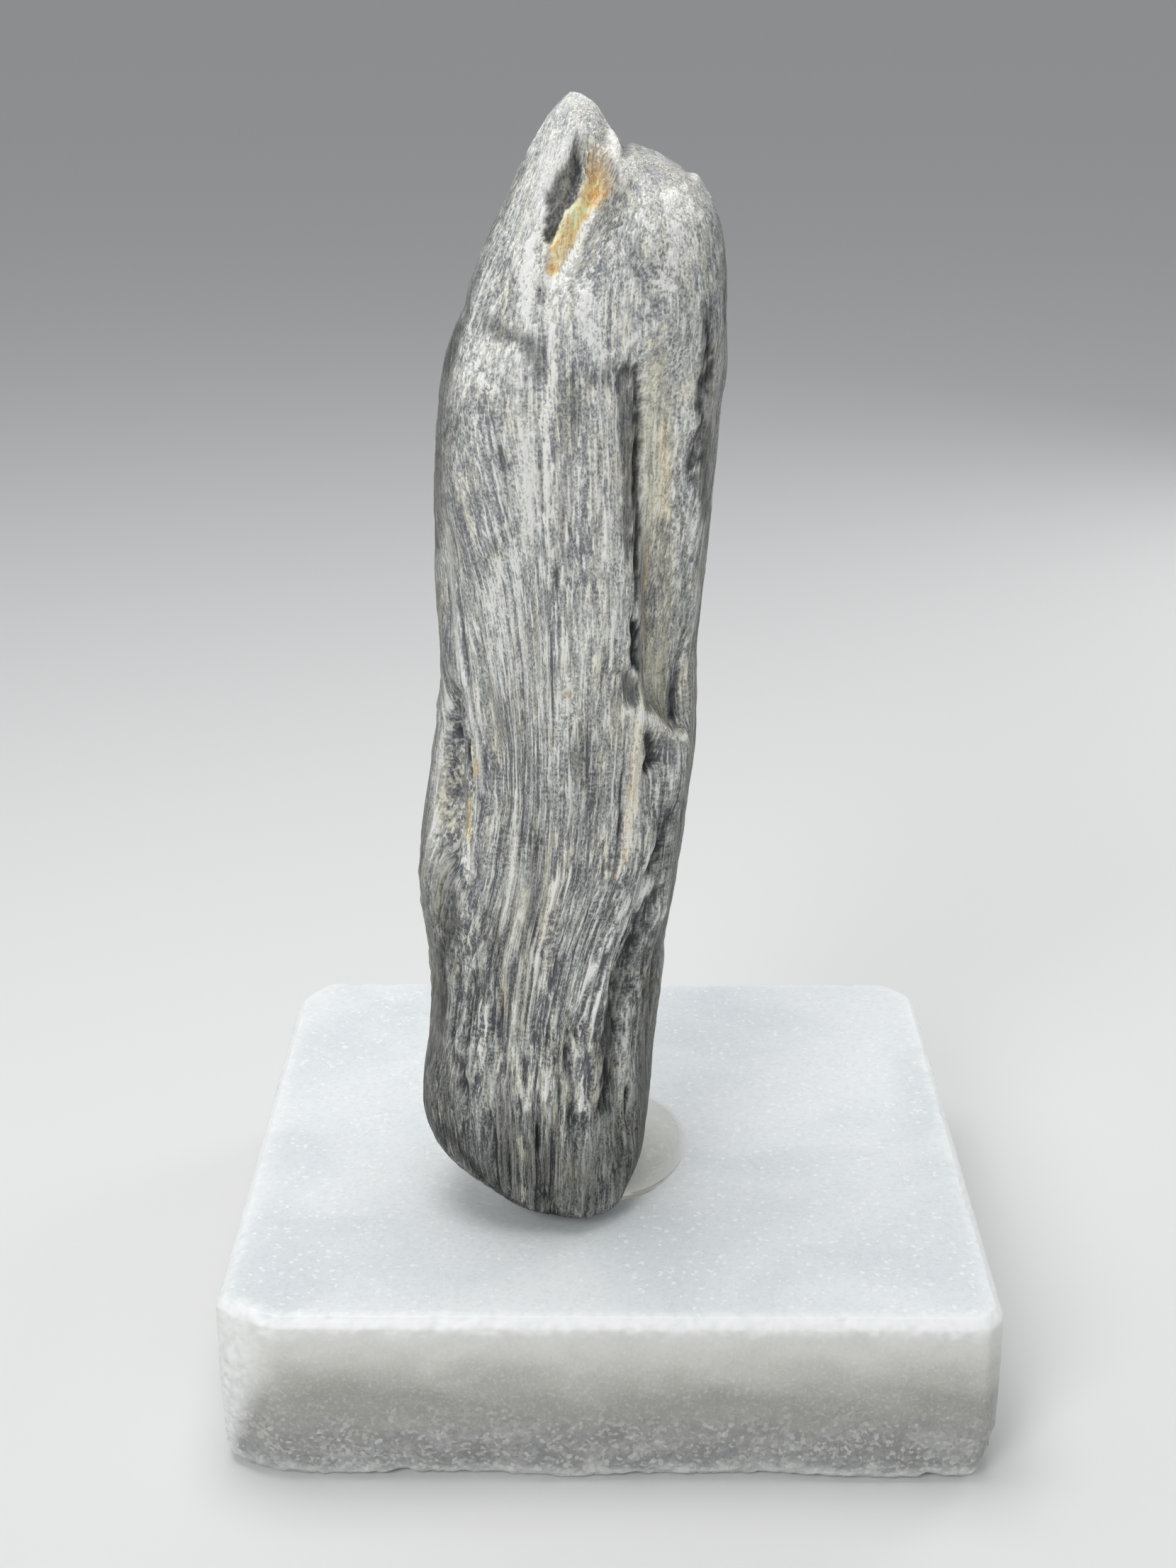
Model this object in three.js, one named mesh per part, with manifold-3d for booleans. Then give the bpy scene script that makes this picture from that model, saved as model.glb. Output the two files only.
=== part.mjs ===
// A piece of petrified wood standing on a square block of white marble, with its
// foot bedded in a low, clear dome of resin. Millimetres, +Z up. The origin is
// the middle of the block's underside.
import * as THREE from 'three';
import { mergeVertices } from 'three/addons/utils/BufferGeometryUtils.js';
import Module from 'manifold-3d';

const wasm = await Module();
wasm.setup();

// Driving dimensions.
const GAP = 0.3;                       // clearance between pieces that touch
const SEAT_CLEARANCE = 0.42;           // clearance of the wood in the clear dome
const BLOCK_SIDE = 102;                // marble block, across its widest level
const BLOCK_HEIGHT = 25;
const BLOCK_POINTS_PER_SIDE = 10;
const CORNER_BOW = 0.16;               // bulge of a broken corner, by what is lost
const ARRIS_IN = 1.1;                  // chamfer along the top edges, inwards
const ARRIS_DOWN = 1.4;                // and downwards
const BROKEN_EDGE = 1.5;               // most that the rough lower edge is set in
const BROKEN_HEIGHT = 9;               // height of the rough band
const WOOD_SECTION_POWER = 2.35;       // 2 is an ellipse, more is squarer
const WOOD_FULL_SECTION = 7;           // half width from which relief is full
const WOOD_COLUMNS = 64;               // facets round the wood
const WOOD_ROWS = 62;                  // and up it
const FRONT_CROWDING = 0.25;           // gathers the columns towards the front
const COLUMN_LEAN = -0.0082;           // radians per mm: columns follow the step
const END_CROWDING = 0.32;             // gathers the rows towards foot and tip
const MM_PER_DEGREE = 0.288;           // along the skin, for one degree of bearing
const BEAD_CENTRE = [-2.0, -10.8];     // clear dome, in plan
const BEAD_RADIUS = 13.1;              // at its widest level
const BEAD_WIDEST = 4.0;               // height of that level above the block
const BEAD_RISE = 5.6;                 // from that level to the crown
const BEAD_STEPS = 9;                  // facets up the dome
const BEAD_SIDES = 28;                 // and round it

// The block's plan. Each corner is broken off differently: its side of the
// square, then how much is lost along X and along Y.
const BLOCK_CORNERS = [
  { name: 'front left', sx: -1, sy: -1, lostX: 8.4, lostY: 5.4 },
  { name: 'front right', sx: 1, sy: -1, lostX: 2.4, lostY: 3.8 },
  { name: 'back right', sx: 1, sy: 1, lostX: 5.2, lostY: 5.6 },
  { name: 'back left', sx: -1, sy: 1, lostX: 4.8, lostY: 7.4 },
];

// Bites out of the lower edge, as waves round the block.
const EDGE_BITES = [
  { share: 0.22, count: 9, phase: 0.7 },
  { share: 0.16, count: 17, phase: 2.0 },
  { share: 0.12, count: 29, phase: 4.1 },
];

// The wood's outline from foot to tip: height above the block, reach to the left
// and right along X, and reach to the front and back along Y.
const WOOD_OUTLINE = [
  [0.3, -4.6, -4.6, -25.6, -25.6],
  [1.0, -9.4, -0.2, -28.4, -21.6],
  [3.0, -14.2, 1.6, -29.6, -15.8],
  [5.2, -18.2, 3.1, -30.1, -11.4],
  [8.0, -22.6, 4.6, -30.4, -7.0],
  [11.5, -25.1, 5.4, -30.5, -4.2],
  [18.1, -25.7, 6.0, -30.4, -2.4],
  [24.7, -24.9, 6.4, -30.0, -1.6],
  [31.1, -24.3, 6.9, -29.6, -1.3],
  [37.5, -24.7, 7.3, -29.5, -1.0],
  [43.8, -25.6, 8.5, -29.7, -0.6],
  [47.5, -25.8, 9.0, -29.8, -0.4],
  [53.0, -24.9, 9.7, -29.7, -0.6],
  [59.1, -24.1, 10.2, -29.4, -1.2],
  [66.0, -23.4, 10.6, -29.3, -2.0],
  [74.0, -22.8, 10.4, -29.6, -2.5],
  [79.7, -22.5, 10.3, -30.0, -2.4],
  [88.0, -23.0, 11.5, -30.5, -1.8],
  [98.0, -22.9, 12.5, -30.8, -1.2],
  [106.0, -22.5, 13.2, -30.7, -1.4],
  [113.0, -21.4, 13.8, -30.3, -2.6],
  [118.4, -20.3, 14.1, -29.8, -3.8],
  [123.0, -18.2, 14.1, -29.2, -4.7],
  [127.0, -16.9, 13.9, -28.6, -5.3],
  [131.2, -15.0, 13.4, -27.6, -6.2],
  [135.2, -13.2, 12.4, -26.4, -7.4],
  [137.6, -12.2, 10.6, -25.5, -8.4],
  [139.6, -11.2, 8.3, -24.6, -9.4],
  [141.2, -10.4, 5.4, -23.8, -10.4],
  [142.3, -9.7, 1.0, -23.0, -11.0],
  [145.0, -8.3, -1.0, -21.2, -12.6],
  [147.0, -7.0, -2.9, -19.2, -14.4],
  [148.0, -5.9, -4.3, -17.6, -15.8],
  [148.3, -5.1, -5.1, -16.7, -16.7],
];

// Places on the wood are a bearing round it, in degrees from the middle of the
// front (-90 is the left flank, 90 the right, 180 the back), and a height above
// the block.

// Grooves and ribs. Each runs from one place to another, with its half width and
// depth at both ends. A negative depth stands proud.
const FURROWS = [
  { name: 'tip trough', from: [4, 144.5], to: [-22, 125], wide: [3.3, 2.1], deep: [4.8, 2.6] },
  { name: 'centre seam', from: [-22, 130], to: [-7, 92], wide: [2.0, 1.7], deep: [0.9, 0.4] },
  { name: 'front swell', from: [32, 141], to: [20, 116], wide: [7.5, 6.5], deep: [-1.1, -1.2] },
  { name: 'flank pocket', from: [45, 69.8], to: [41, 57], wide: [1.9, 1.5], deep: [2.1, 0.9] },
  { name: 'flank knob', from: [63, 72.5], to: [58, 57], wide: [2.4, 2.2], deep: [-1.4, -0.8] },
  { name: 'flank pit', from: [68, 82], to: [57, 70.5], wide: [1.3, 1.2], deep: [1.0, 1.4] },
  { name: 'knot hollow', from: [-66, 80], to: [-56, 48], wide: [3.0, 3.6], deep: [2.9, 2.9] },
  { name: 'knot near rim', from: [-42, 92], to: [-34, 44], wide: [2.0, 2.4], deep: [-1.0, -0.7] },
  { name: 'knot far rim', from: [-92, 84], to: [-86, 44], wide: [2.6, 2.6], deep: [-0.4, -0.6] },
  { name: 'upper left swell', from: [-50, 120], to: [-40, 92], wide: [5.5, 5.0], deep: [-0.9, -0.7] },
  { name: 'left waist', from: [-62, 100], to: [-58, 80], wide: [2.8, 2.4], deep: [1.0, 1.2] },
  { name: 'lower right valley', from: [52, 57], to: [32, 30], wide: [2.4, 2.2], deep: [1.2, 0.9] },
  { name: 'flank crease', from: [34, 44], to: [50, 4], wide: [1.8, 1.6], deep: [0.9, 0.9] },
  { name: 'foot dent', from: [-10, 6.5], to: [-4, 1.4], wide: [1.8, 1.5], deep: [0.8, 0.8] },
  { name: 'back flute', from: [-176, 138], to: [-171, 36], wide: [3.2, 3.8], deep: [2.0, 2.6] },
  { name: 'back rib', from: [150, 128], to: [161, 22], wide: [3.0, 3.2], deep: [-1.0, -1.4] },
  { name: 'back knot', from: [-134, 98], to: [-141, 70], wide: [3.4, 3.2], deep: [1.9, 2.2] },
  { name: 'back knot rim', from: [-152, 106], to: [-158, 62], wide: [2.2, 2.4], deep: [-0.9, -0.7] },
  { name: 'back shelf', from: [136, 82], to: [142, 44], wide: [2.8, 2.4], deep: [1.9, 1.4] },
  { name: 'back foot furrow', from: [-146, 50], to: [-152, 6], wide: [2.6, 2.8], deep: [1.5, 1.3] },
  { name: 'right flank flute', from: [104, 116], to: [112, 58], wide: [2.8, 2.6], deep: [1.3, 1.2] },
  { name: 'left flank flute', from: [-104, 128], to: [-113, 90], wide: [2.6, 2.8], deep: [1.2, 1.0] },
];

// The sunken strip on the right of the face. Its left edge is a steep step that
// leans with height, and its floor climbs back to the outer ridge.
const STRIP = {
  foot: [37, 75],
  head: [15, 121.5],
  depth: 2.2,
  stepWidth: 7,
  floorStart: 16,
  floorEnd: 34,
  fade: 9,
};

// The ledge that closes the strip below, falling to the right.
const LEDGE = { start: [28, 74.8], end: [57, 69.9], height: 1.8 };

// The flat chip beside the lower end of the step.
const CHIP = { centre: [28.5, 77.4], halfWidth: 5, halfHeight: 3.1, depth: 1.1 };

// Slow swells all round, so that no stretch is a plain curve.
const SWELLS = [
  { amplitude: 0.32, turns: 3, pitch: 118, phase: 0.85 },
  { amplitude: 0.24, turns: 5, pitch: -64, phase: 0.33 },
  { amplitude: 0.16, turns: 8, pitch: 41, phase: 0.7 },
];

const smooth = (low, high, value) => THREE.MathUtils.smoothstep(value, low, high);
const mix = THREE.MathUtils.lerp;

// How deep one furrow is at a place: a rounded trough across it, narrowing and
// running out softly towards either end.
function furrowDepth(furrow, bearing, height) {
  const [bearing1, height1] = furrow.from;
  const [bearing2, height2] = furrow.to;
  const runAcross = turnBetween(bearing1, bearing2) * MM_PER_DEGREE;
  const runUp = height2 - height1;
  const length = Math.hypot(runAcross, runUp);
  const offAcross = turnBetween(bearing1, bearing) * MM_PER_DEGREE;
  const offUp = height - height1;
  const along = (offAcross * runAcross + offUp * runUp) / (length * length);
  const across = (offAcross * runUp - offUp * runAcross) / length;
  const held = THREE.MathUtils.clamp(along, 0, 1);
  const ends = smooth(0, 0.3, along) * (1 - smooth(0.7, 1, along));
  const reach = across / (mix(furrow.wide[0], furrow.wide[1], held) * mix(0.55, 1, ends));
  return mix(furrow.deep[0], furrow.deep[1], held) * Math.exp(-reach * reach) * ends;
}

// The turn from one bearing to another, the short way round.
function turnBetween(from, to) {
  return THREE.MathUtils.euclideanModulo(to - from + 180, 360) - 180;
}

// How deep the sunken strip is, with its step on the left and its ledge below.
function stripDepth(bearing, height) {
  const rise = (height - STRIP.foot[1]) / (STRIP.head[1] - STRIP.foot[1]);
  const edge = mix(STRIP.foot[0], STRIP.head[0], rise);
  const ledgeRun = (bearing - LEDGE.start[0]) / (LEDGE.end[0] - LEDGE.start[0]);
  const ledgeAt = mix(LEDGE.start[1], LEDGE.end[1], ledgeRun);
  const step = smooth(edge, edge + STRIP.stepWidth, bearing);
  const floor = 1 - smooth(edge + STRIP.floorStart, edge + STRIP.floorEnd, bearing);
  const above = smooth(ledgeAt, ledgeAt + LEDGE.height, height);
  const below = 1 - smooth(STRIP.head[1] - STRIP.fade, STRIP.head[1], height);
  return STRIP.depth * step * floor * above * below;
}

// How deep the flat chip is.
function chipDepth(bearing, height) {
  const across = Math.abs(bearing - CHIP.centre[0]) / CHIP.halfWidth;
  const up = Math.abs(height - CHIP.centre[1]) / CHIP.halfHeight;
  return CHIP.depth * (1 - smooth(0.7, 1.3, Math.max(across, up)));
}

// Everything that stands out of the wood, or is cut into it, at one place.
function reliefAt(bearing, height) {
  let relief = -stripDepth(bearing, height) - chipDepth(bearing, height);
  for (const swell of SWELLS) {
    const turns = (swell.turns * bearing) / 360 + height / swell.pitch + swell.phase;
    relief += swell.amplitude * Math.sin(2 * Math.PI * turns);
  }
  for (const furrow of FURROWS) {
    relief -= furrowDepth(furrow, bearing, height);
  }
  return relief;
}

// The wood's outline at any height, as a smooth curve through its stations.
const outlineCurve = new THREE.CubicInterpolant(
  WOOD_OUTLINE.map((station) => station[0]),
  WOOD_OUTLINE.flatMap((station) => station.slice(1)),
  4,
  new Float64Array(4),
);

// One point of the wood's skin: turn runs 0 to 1 round it from the left flank
// by the front, rise runs 0 to 1 up it, and swell makes it fatter.
function woodPoint(turn, rise, swell) {
  const foot = WOOD_OUTLINE[0][0];
  const tip = WOOD_OUTLINE[WOOD_OUTLINE.length - 1][0];
  const eased = mix(rise, (1 - Math.cos(Math.PI * rise)) / 2, END_CROWDING);
  const height = mix(foot, tip, eased);
  const [left, right, front, back] = outlineCurve.evaluate(height);
  const twist = COLUMN_LEAN * (height - (foot + tip) / 2);
  const angle = Math.PI + 2 * Math.PI * turn + FRONT_CROWDING * Math.cos(2 * Math.PI * turn) + twist;
  const bearing = turnBetween(0, THREE.MathUtils.radToDeg(angle) - 270);
  const c = Math.cos(angle);
  const s = Math.sin(angle);
  const n = WOOD_SECTION_POWER;
  const squareness = (Math.abs(c) ** n + Math.abs(s) ** n) ** (-1 / n);
  const halfWidth = Math.max((right - left) / 2, 0);
  const halfDepth = Math.max((back - front) / 2, 0);
  const x = (left + right) / 2 + halfWidth * squareness * c;
  const y = (front + back) / 2 + halfDepth * squareness * s;
  const fullness = smooth(0, WOOD_FULL_SECTION, Math.min(halfWidth, halfDepth));
  const push = fullness * reliefAt(bearing, height) + swell;
  return new THREE.Vector3(x + push * c, y + push * s, height);
}

// The wood's whole skin, standing on the block.
function woodGeometry(swell = 0) {
  const geometry = new THREE.SphereGeometry(1, WOOD_COLUMNS, WOOD_ROWS);
  const { position, uv } = geometry.attributes;
  for (let i = 0; i < position.count; i++) {
    const pole = i <= WOOD_COLUMNS || i >= position.count - WOOD_COLUMNS - 1;
    const turn = pole ? 0 : uv.getX(i) % 1;
    const point = woodPoint(turn, uv.getY(i), pole ? 0 : swell);
    position.setXYZ(i, point.x, point.y, point.z + BLOCK_HEIGHT);
  }
  return closed(geometry);
}

// A geometry with only merged positions left, as joins and cuts need.
function closed(geometry) {
  geometry.deleteAttribute('normal');
  geometry.deleteAttribute('uv');
  const merged = mergeVertices(geometry, 1e-4);
  merged.computeVertexNormals();
  return merged;
}

function toManifold(geometry) {
  const bare = geometry.clone();
  bare.deleteAttribute('normal');
  return new wasm.Manifold(new wasm.Mesh({
    numProp: 3,
    vertProperties: new Float32Array(bare.attributes.position.array),
    triVerts: new Uint32Array(bare.index.array),
  }));
}

function fromManifold(solid) {
  const mesh = solid.getMesh();
  const geometry = new THREE.BufferGeometry();
  geometry.setAttribute('position', new THREE.BufferAttribute(mesh.vertProperties, mesh.numProp));
  geometry.setIndex(new THREE.BufferAttribute(mesh.triVerts, 1));
  geometry.computeVertexNormals();
  return geometry;
}

// The block's plan: a square with its corners broken off, each break slightly
// bowed, and points along the sides for the rough lower edge.
function blockPlan() {
  const half = BLOCK_SIDE / 2;
  const starts = [];
  for (const corner of BLOCK_CORNERS) {
    const alongX = new THREE.Vector2(corner.sx * (half - corner.lostX), corner.sy * half);
    const alongY = new THREE.Vector2(corner.sx * half, corner.sy * (half - corner.lostY));
    const entersByY = corner.sx * corner.sy > 0;
    const from = entersByY ? alongY : alongX;
    const to = entersByY ? alongX : alongY;
    const bulge = CORNER_BOW * (corner.lostX + corner.lostY) / 2;
    const bow = new THREE.Vector2(corner.sx, corner.sy).multiplyScalar(bulge);
    const middle = from.clone().add(to).multiplyScalar(0.5).add(bow);
    starts.push([from, middle, to]);
  }
  const plan = [];
  starts.forEach((corner, i) => {
    const next = starts[(i + 1) % starts.length][0];
    plan.push(...new THREE.QuadraticBezierCurve(...corner).getPoints(4));
    for (let k = 1; k < BLOCK_POINTS_PER_SIDE; k++) {
      plan.push(corner[2].clone().lerp(next, k / BLOCK_POINTS_PER_SIDE));
    }
  });
  return new THREE.Shape(plan);
}

// How far the lower edge is set in, in and out round the block.
function brokenEdge(angle, height) {
  const lowness = 1 - smooth(0, BROKEN_HEIGHT, height);
  let ragged = 0.5;
  for (const bite of EDGE_BITES) {
    ragged += bite.share * Math.sin(bite.count * angle + bite.phase);
  }
  return BROKEN_EDGE * lowness ** 2.2 * ragged;
}

function blockGeometry() {
  const geometry = new THREE.ExtrudeGeometry(blockPlan(), {
    depth: BLOCK_HEIGHT - 2 * ARRIS_DOWN,
    steps: 4,
    bevelThickness: ARRIS_DOWN,
    bevelSize: ARRIS_IN,
    bevelOffset: -ARRIS_IN,
    bevelSegments: 1,
  });
  geometry.translate(0, 0, ARRIS_DOWN);
  const { position } = geometry.attributes;
  for (let i = 0; i < position.count; i++) {
    const x = position.getX(i);
    const y = position.getY(i);
    const z = position.getZ(i);
    const inward = 1 - brokenEdge(Math.atan2(y, x), z) / (BLOCK_SIDE / 2);
    position.setXYZ(i, x * inward, y * inward, z);
  }
  return closed(geometry);
}

// The clear dome, flat below, cut away where the wood sits in it.
function beadGeometry() {
  const profile = [new THREE.Vector2(0, GAP)];
  const lowest = Math.asin((GAP - BEAD_WIDEST) / BEAD_RISE);
  for (let k = 0; k < BEAD_STEPS; k++) {
    const angle = mix(lowest, Math.PI / 2, k / BEAD_STEPS);
    profile.push(new THREE.Vector2(BEAD_RADIUS * Math.cos(angle), BEAD_WIDEST + BEAD_RISE * Math.sin(angle)));
  }
  profile.push(new THREE.Vector2(0, BEAD_WIDEST + BEAD_RISE));
  const geometry = new THREE.LatheGeometry(profile, BEAD_SIDES);
  geometry.rotateX(Math.PI / 2);
  geometry.translate(BEAD_CENTRE[0], BEAD_CENTRE[1], BLOCK_HEIGHT);
  const seat = woodGeometry(SEAT_CLEARANCE).translate(0, 0, -SEAT_CLEARANCE);
  return fromManifold(toManifold(closed(geometry)).subtract(toManifold(seat)));
}

const marble = new THREE.MeshStandardMaterial({ color: 0xe3e6e4, roughness: 0.55, metalness: 0 });
const clearResin = new THREE.MeshStandardMaterial({ color: 0xdedbd4, roughness: 0.08, metalness: 0 });
clearResin.transparent = true;
clearResin.opacity = 0.35;
const petrifiedWood = new THREE.MeshStandardMaterial({ color: 0x77777a, roughness: 0.85, metalness: 0 });

function piece(name, geometry, material) {
  const mesh = new THREE.Mesh(geometry, material);
  mesh.name = name;
  return mesh;
}

const group = new THREE.Group();
group.add(piece('marble_slab', blockGeometry(), marble));
group.add(piece('clear_resin_bead', beadGeometry(), clearResin));
group.add(piece('petrified_wood', woodGeometry(), petrifiedWood));

export default group;
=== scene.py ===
"""Petrified wood on its marble block, dressed for rendering.

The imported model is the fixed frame. Three pieces stand for its three nodes: the marble
block, the bead of clear resin, and the wood that the bead holds up. Lengths are in
millimetres unless a name says otherwise, and heights on the wood count from the block's top.
"""
import logging
import math
from dataclasses import dataclass, field, replace
from enum import Enum

import bmesh
import bpy
import numpy as np
from mathutils import Matrix, Vector, noise
from mathutils.bvhtree import BVHTree


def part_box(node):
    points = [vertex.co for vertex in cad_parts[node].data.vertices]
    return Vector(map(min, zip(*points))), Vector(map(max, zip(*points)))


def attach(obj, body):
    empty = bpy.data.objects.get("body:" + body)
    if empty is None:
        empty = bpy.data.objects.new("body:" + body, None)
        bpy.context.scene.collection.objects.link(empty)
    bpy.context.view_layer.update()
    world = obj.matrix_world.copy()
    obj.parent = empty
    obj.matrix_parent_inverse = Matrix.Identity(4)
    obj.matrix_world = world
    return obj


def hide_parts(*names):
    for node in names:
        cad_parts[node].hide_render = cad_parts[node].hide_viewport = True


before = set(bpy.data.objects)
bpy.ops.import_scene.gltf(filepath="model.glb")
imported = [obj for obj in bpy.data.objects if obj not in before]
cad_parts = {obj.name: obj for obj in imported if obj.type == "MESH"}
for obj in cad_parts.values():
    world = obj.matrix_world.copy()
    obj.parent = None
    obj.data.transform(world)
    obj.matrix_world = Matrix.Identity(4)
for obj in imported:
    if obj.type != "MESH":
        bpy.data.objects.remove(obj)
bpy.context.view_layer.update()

MM = 0.001
PER_MM = 1 / MM
LOG = logging.getLogger("scene")
Triple = tuple[float, float, float]
Array = np.ndarray
Piece = bpy.types.Object
Socket = bpy.types.NodeSocket
Outputs = bpy.types.bpy_prop_collection


class Node(Enum):
    """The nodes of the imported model."""

    BLOCK = "marble_slab"
    BEAD = "clear_resin_bead"
    WOOD = "petrified_wood"


class Slot(Enum):
    """The record's material slots."""

    MARBLE = "marble"
    RESIN = "clear_resin"
    WOOD = "petrified_wood"


class Side(Enum):
    """A side that marks are placed on: the way it faces, and the way across it as it is looked at."""

    FRONT = ((0, -1, 0), (1, 0, 0))
    RIGHT = ((1, 0, 0), (0, 1, 0))
    BACK = ((0, 1, 0), (-1, 0, 0))
    LEFT = ((-1, 0, 0), (0, -1, 0))


def smooth_step(low: float, high: float, value: Array) -> Array:
    """A smooth rise from 0 at low to 1 at high.

    Args:
        low: where the rise starts.
        high: where it ends; below low for a fall.
        value: the numbers to look up.

    Returns:
        The height of the rise at each value.
    """
    share = np.clip((value - low) / (high - low), 0, 1)
    return share * share * (3 - 2 * share)


def noise_at(points: Array, stretch: Triple, seed: float) -> Array:
    """Smooth noise, from about -1 to 1, at many points.

    Args:
        points: the points, with their three coordinates last.
        stretch: how far the noise runs along each axis before it changes.
        seed: moves the noise to a part of its own.

    Returns:
        One number for each point.
    """
    places = (points / np.array(stretch) + seed).reshape(-1, 3)
    return np.array([noise.noise(place) for place in places.tolist()]).reshape(points.shape[:-1])


def tone(red: float, green: float, blue: float) -> tuple[float, float, float, float]:
    """A colour as a shader wants it, from the three screen values of 0 to 255."""
    screen = np.array([red, green, blue]) / 255
    linear = np.where(screen <= 0.04045, screen / 12.92, ((screen + 0.055) / 1.055) ** 2.4)
    return (*linear.tolist(), 1.0)


def block_top() -> float:
    """The height of the marble block's top."""
    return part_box(Node.BLOCK.value)[1].z / MM


def level_ways(bearings: Array) -> Array:
    """The level directions at bearings in radians, counted to the right from the front."""
    return np.stack([np.sin(bearings), -np.cos(bearings), 0 * bearings], axis=-1)


def put_in_scene(name: str, data: bpy.types.ID) -> Piece:
    """A new object in the scene, for a mesh, a camera or a light."""
    holder = bpy.data.objects.new(name, data)
    bpy.context.scene.collection.objects.link(holder)
    return holder


def ring_piece(name: str, rings: Array, low_end: Array, high_end: Array) -> Piece:
    """A closed piece skinned over rings of points.

    Args:
        name: the piece's name.
        rings: rows from low to high, each of points counted to the right round the piece.
        low_end: the point that closes the lowest ring.
        high_end: the point that closes the highest ring.

    Returns:
        The smooth-shaded object, in the scene.
    """
    rows, columns, _ = rings.shape
    points = np.concatenate([rings.reshape(-1, 3), [low_end], [high_end]]) * MM
    place = np.arange(rows * columns).reshape(rows, columns)
    beside = np.roll(place, -1, axis=1)
    skin = np.stack([place[:-1], beside[:-1], beside[1:], place[1:]], axis=-1).reshape(-1, 4)
    low, high = rows * columns, rows * columns + 1
    low_fan = [(low, b, a) for a, b in zip(place[0].tolist(), beside[0].tolist())]
    high_fan = [(high, a, b) for a, b in zip(place[-1].tolist(), beside[-1].tolist())]
    mesh = bpy.data.meshes.new(name)
    mesh.from_pydata(points.tolist(), [], skin.tolist() + low_fan + high_fan)
    mesh.shade_smooth()
    mesh.update()
    return put_in_scene(name, mesh)


def add_attribute(piece: Piece, name: str, kind: str, values: Array) -> None:
    """Gives each point of a piece a value that its material reads.

    Args:
        piece: the object that gets the values.
        name: what the material calls them.
        kind: FLOAT, FLOAT_VECTOR or FLOAT_COLOR.
        values: one row for each point.
    """
    layer = piece.data.attributes.new(name, kind, "POINT")
    key = {"FLOAT": "value", "FLOAT_VECTOR": "vector", "FLOAT_COLOR": "color"}[kind]
    layer.data.foreach_set(key, values.astype(np.float32).ravel())


def dress(piece: Piece, node: Node, material: bpy.types.Material) -> None:
    """Puts a finished piece in its node's place.

    Args:
        piece: the object.
        node: the node that it stands for.
        material: its finish.
    """
    piece.data.materials.append(material)
    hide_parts(node.value)
    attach(piece, "root")
    faces = len(piece.data.polygons)
    LOG.info("%s stands for %s, with %d faces", piece.name, node.value, faces)


def node_surface(node: Node, levels: int) -> BVHTree:
    """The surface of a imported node, for finding points on it.

    Args:
        node: which node.
        levels: how often its facets are divided and rounded.

    Returns:
        The surface as a tree, in metres.
    """
    weld = 1e-6
    flat_enough = math.radians(70)
    shell = bmesh.new()
    shell.from_mesh(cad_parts[node.value].data)
    bmesh.ops.remove_doubles(shell, verts=shell.verts, dist=weld)
    if levels:
        bmesh.ops.join_triangles(
            shell, faces=shell.faces, angle_face_threshold=flat_enough, angle_shape_threshold=flat_enough
        )
    mesh = bpy.data.meshes.new("surface")
    shell.to_mesh(mesh)
    shell.free()
    holder = put_in_scene("surface", mesh)
    if levels:
        holder.modifiers.new("rounding", "SUBSURF").levels = levels
    tree = BVHTree.FromObject(holder, bpy.context.evaluated_depsgraph_get())
    bpy.data.objects.remove(holder)
    bpy.data.meshes.remove(mesh)
    return tree


def cast_out(surface: BVHTree, origins: Array, directions: Array) -> Array:
    """Where rays from inside a surface meet it.

    Args:
        surface: the surface, in metres.
        origins: where the rays start, in millimetres.
        directions: where they point.

    Returns:
        The points, in millimetres, in the shape of origins.
    """
    starts = (origins.reshape(-1, 3) * MM).tolist()
    ways = directions.reshape(-1, 3).tolist()
    hits = [surface.ray_cast(start, way)[0] for start, way in zip(starts, ways)]
    return np.array(hits).reshape(origins.shape) / MM


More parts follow.
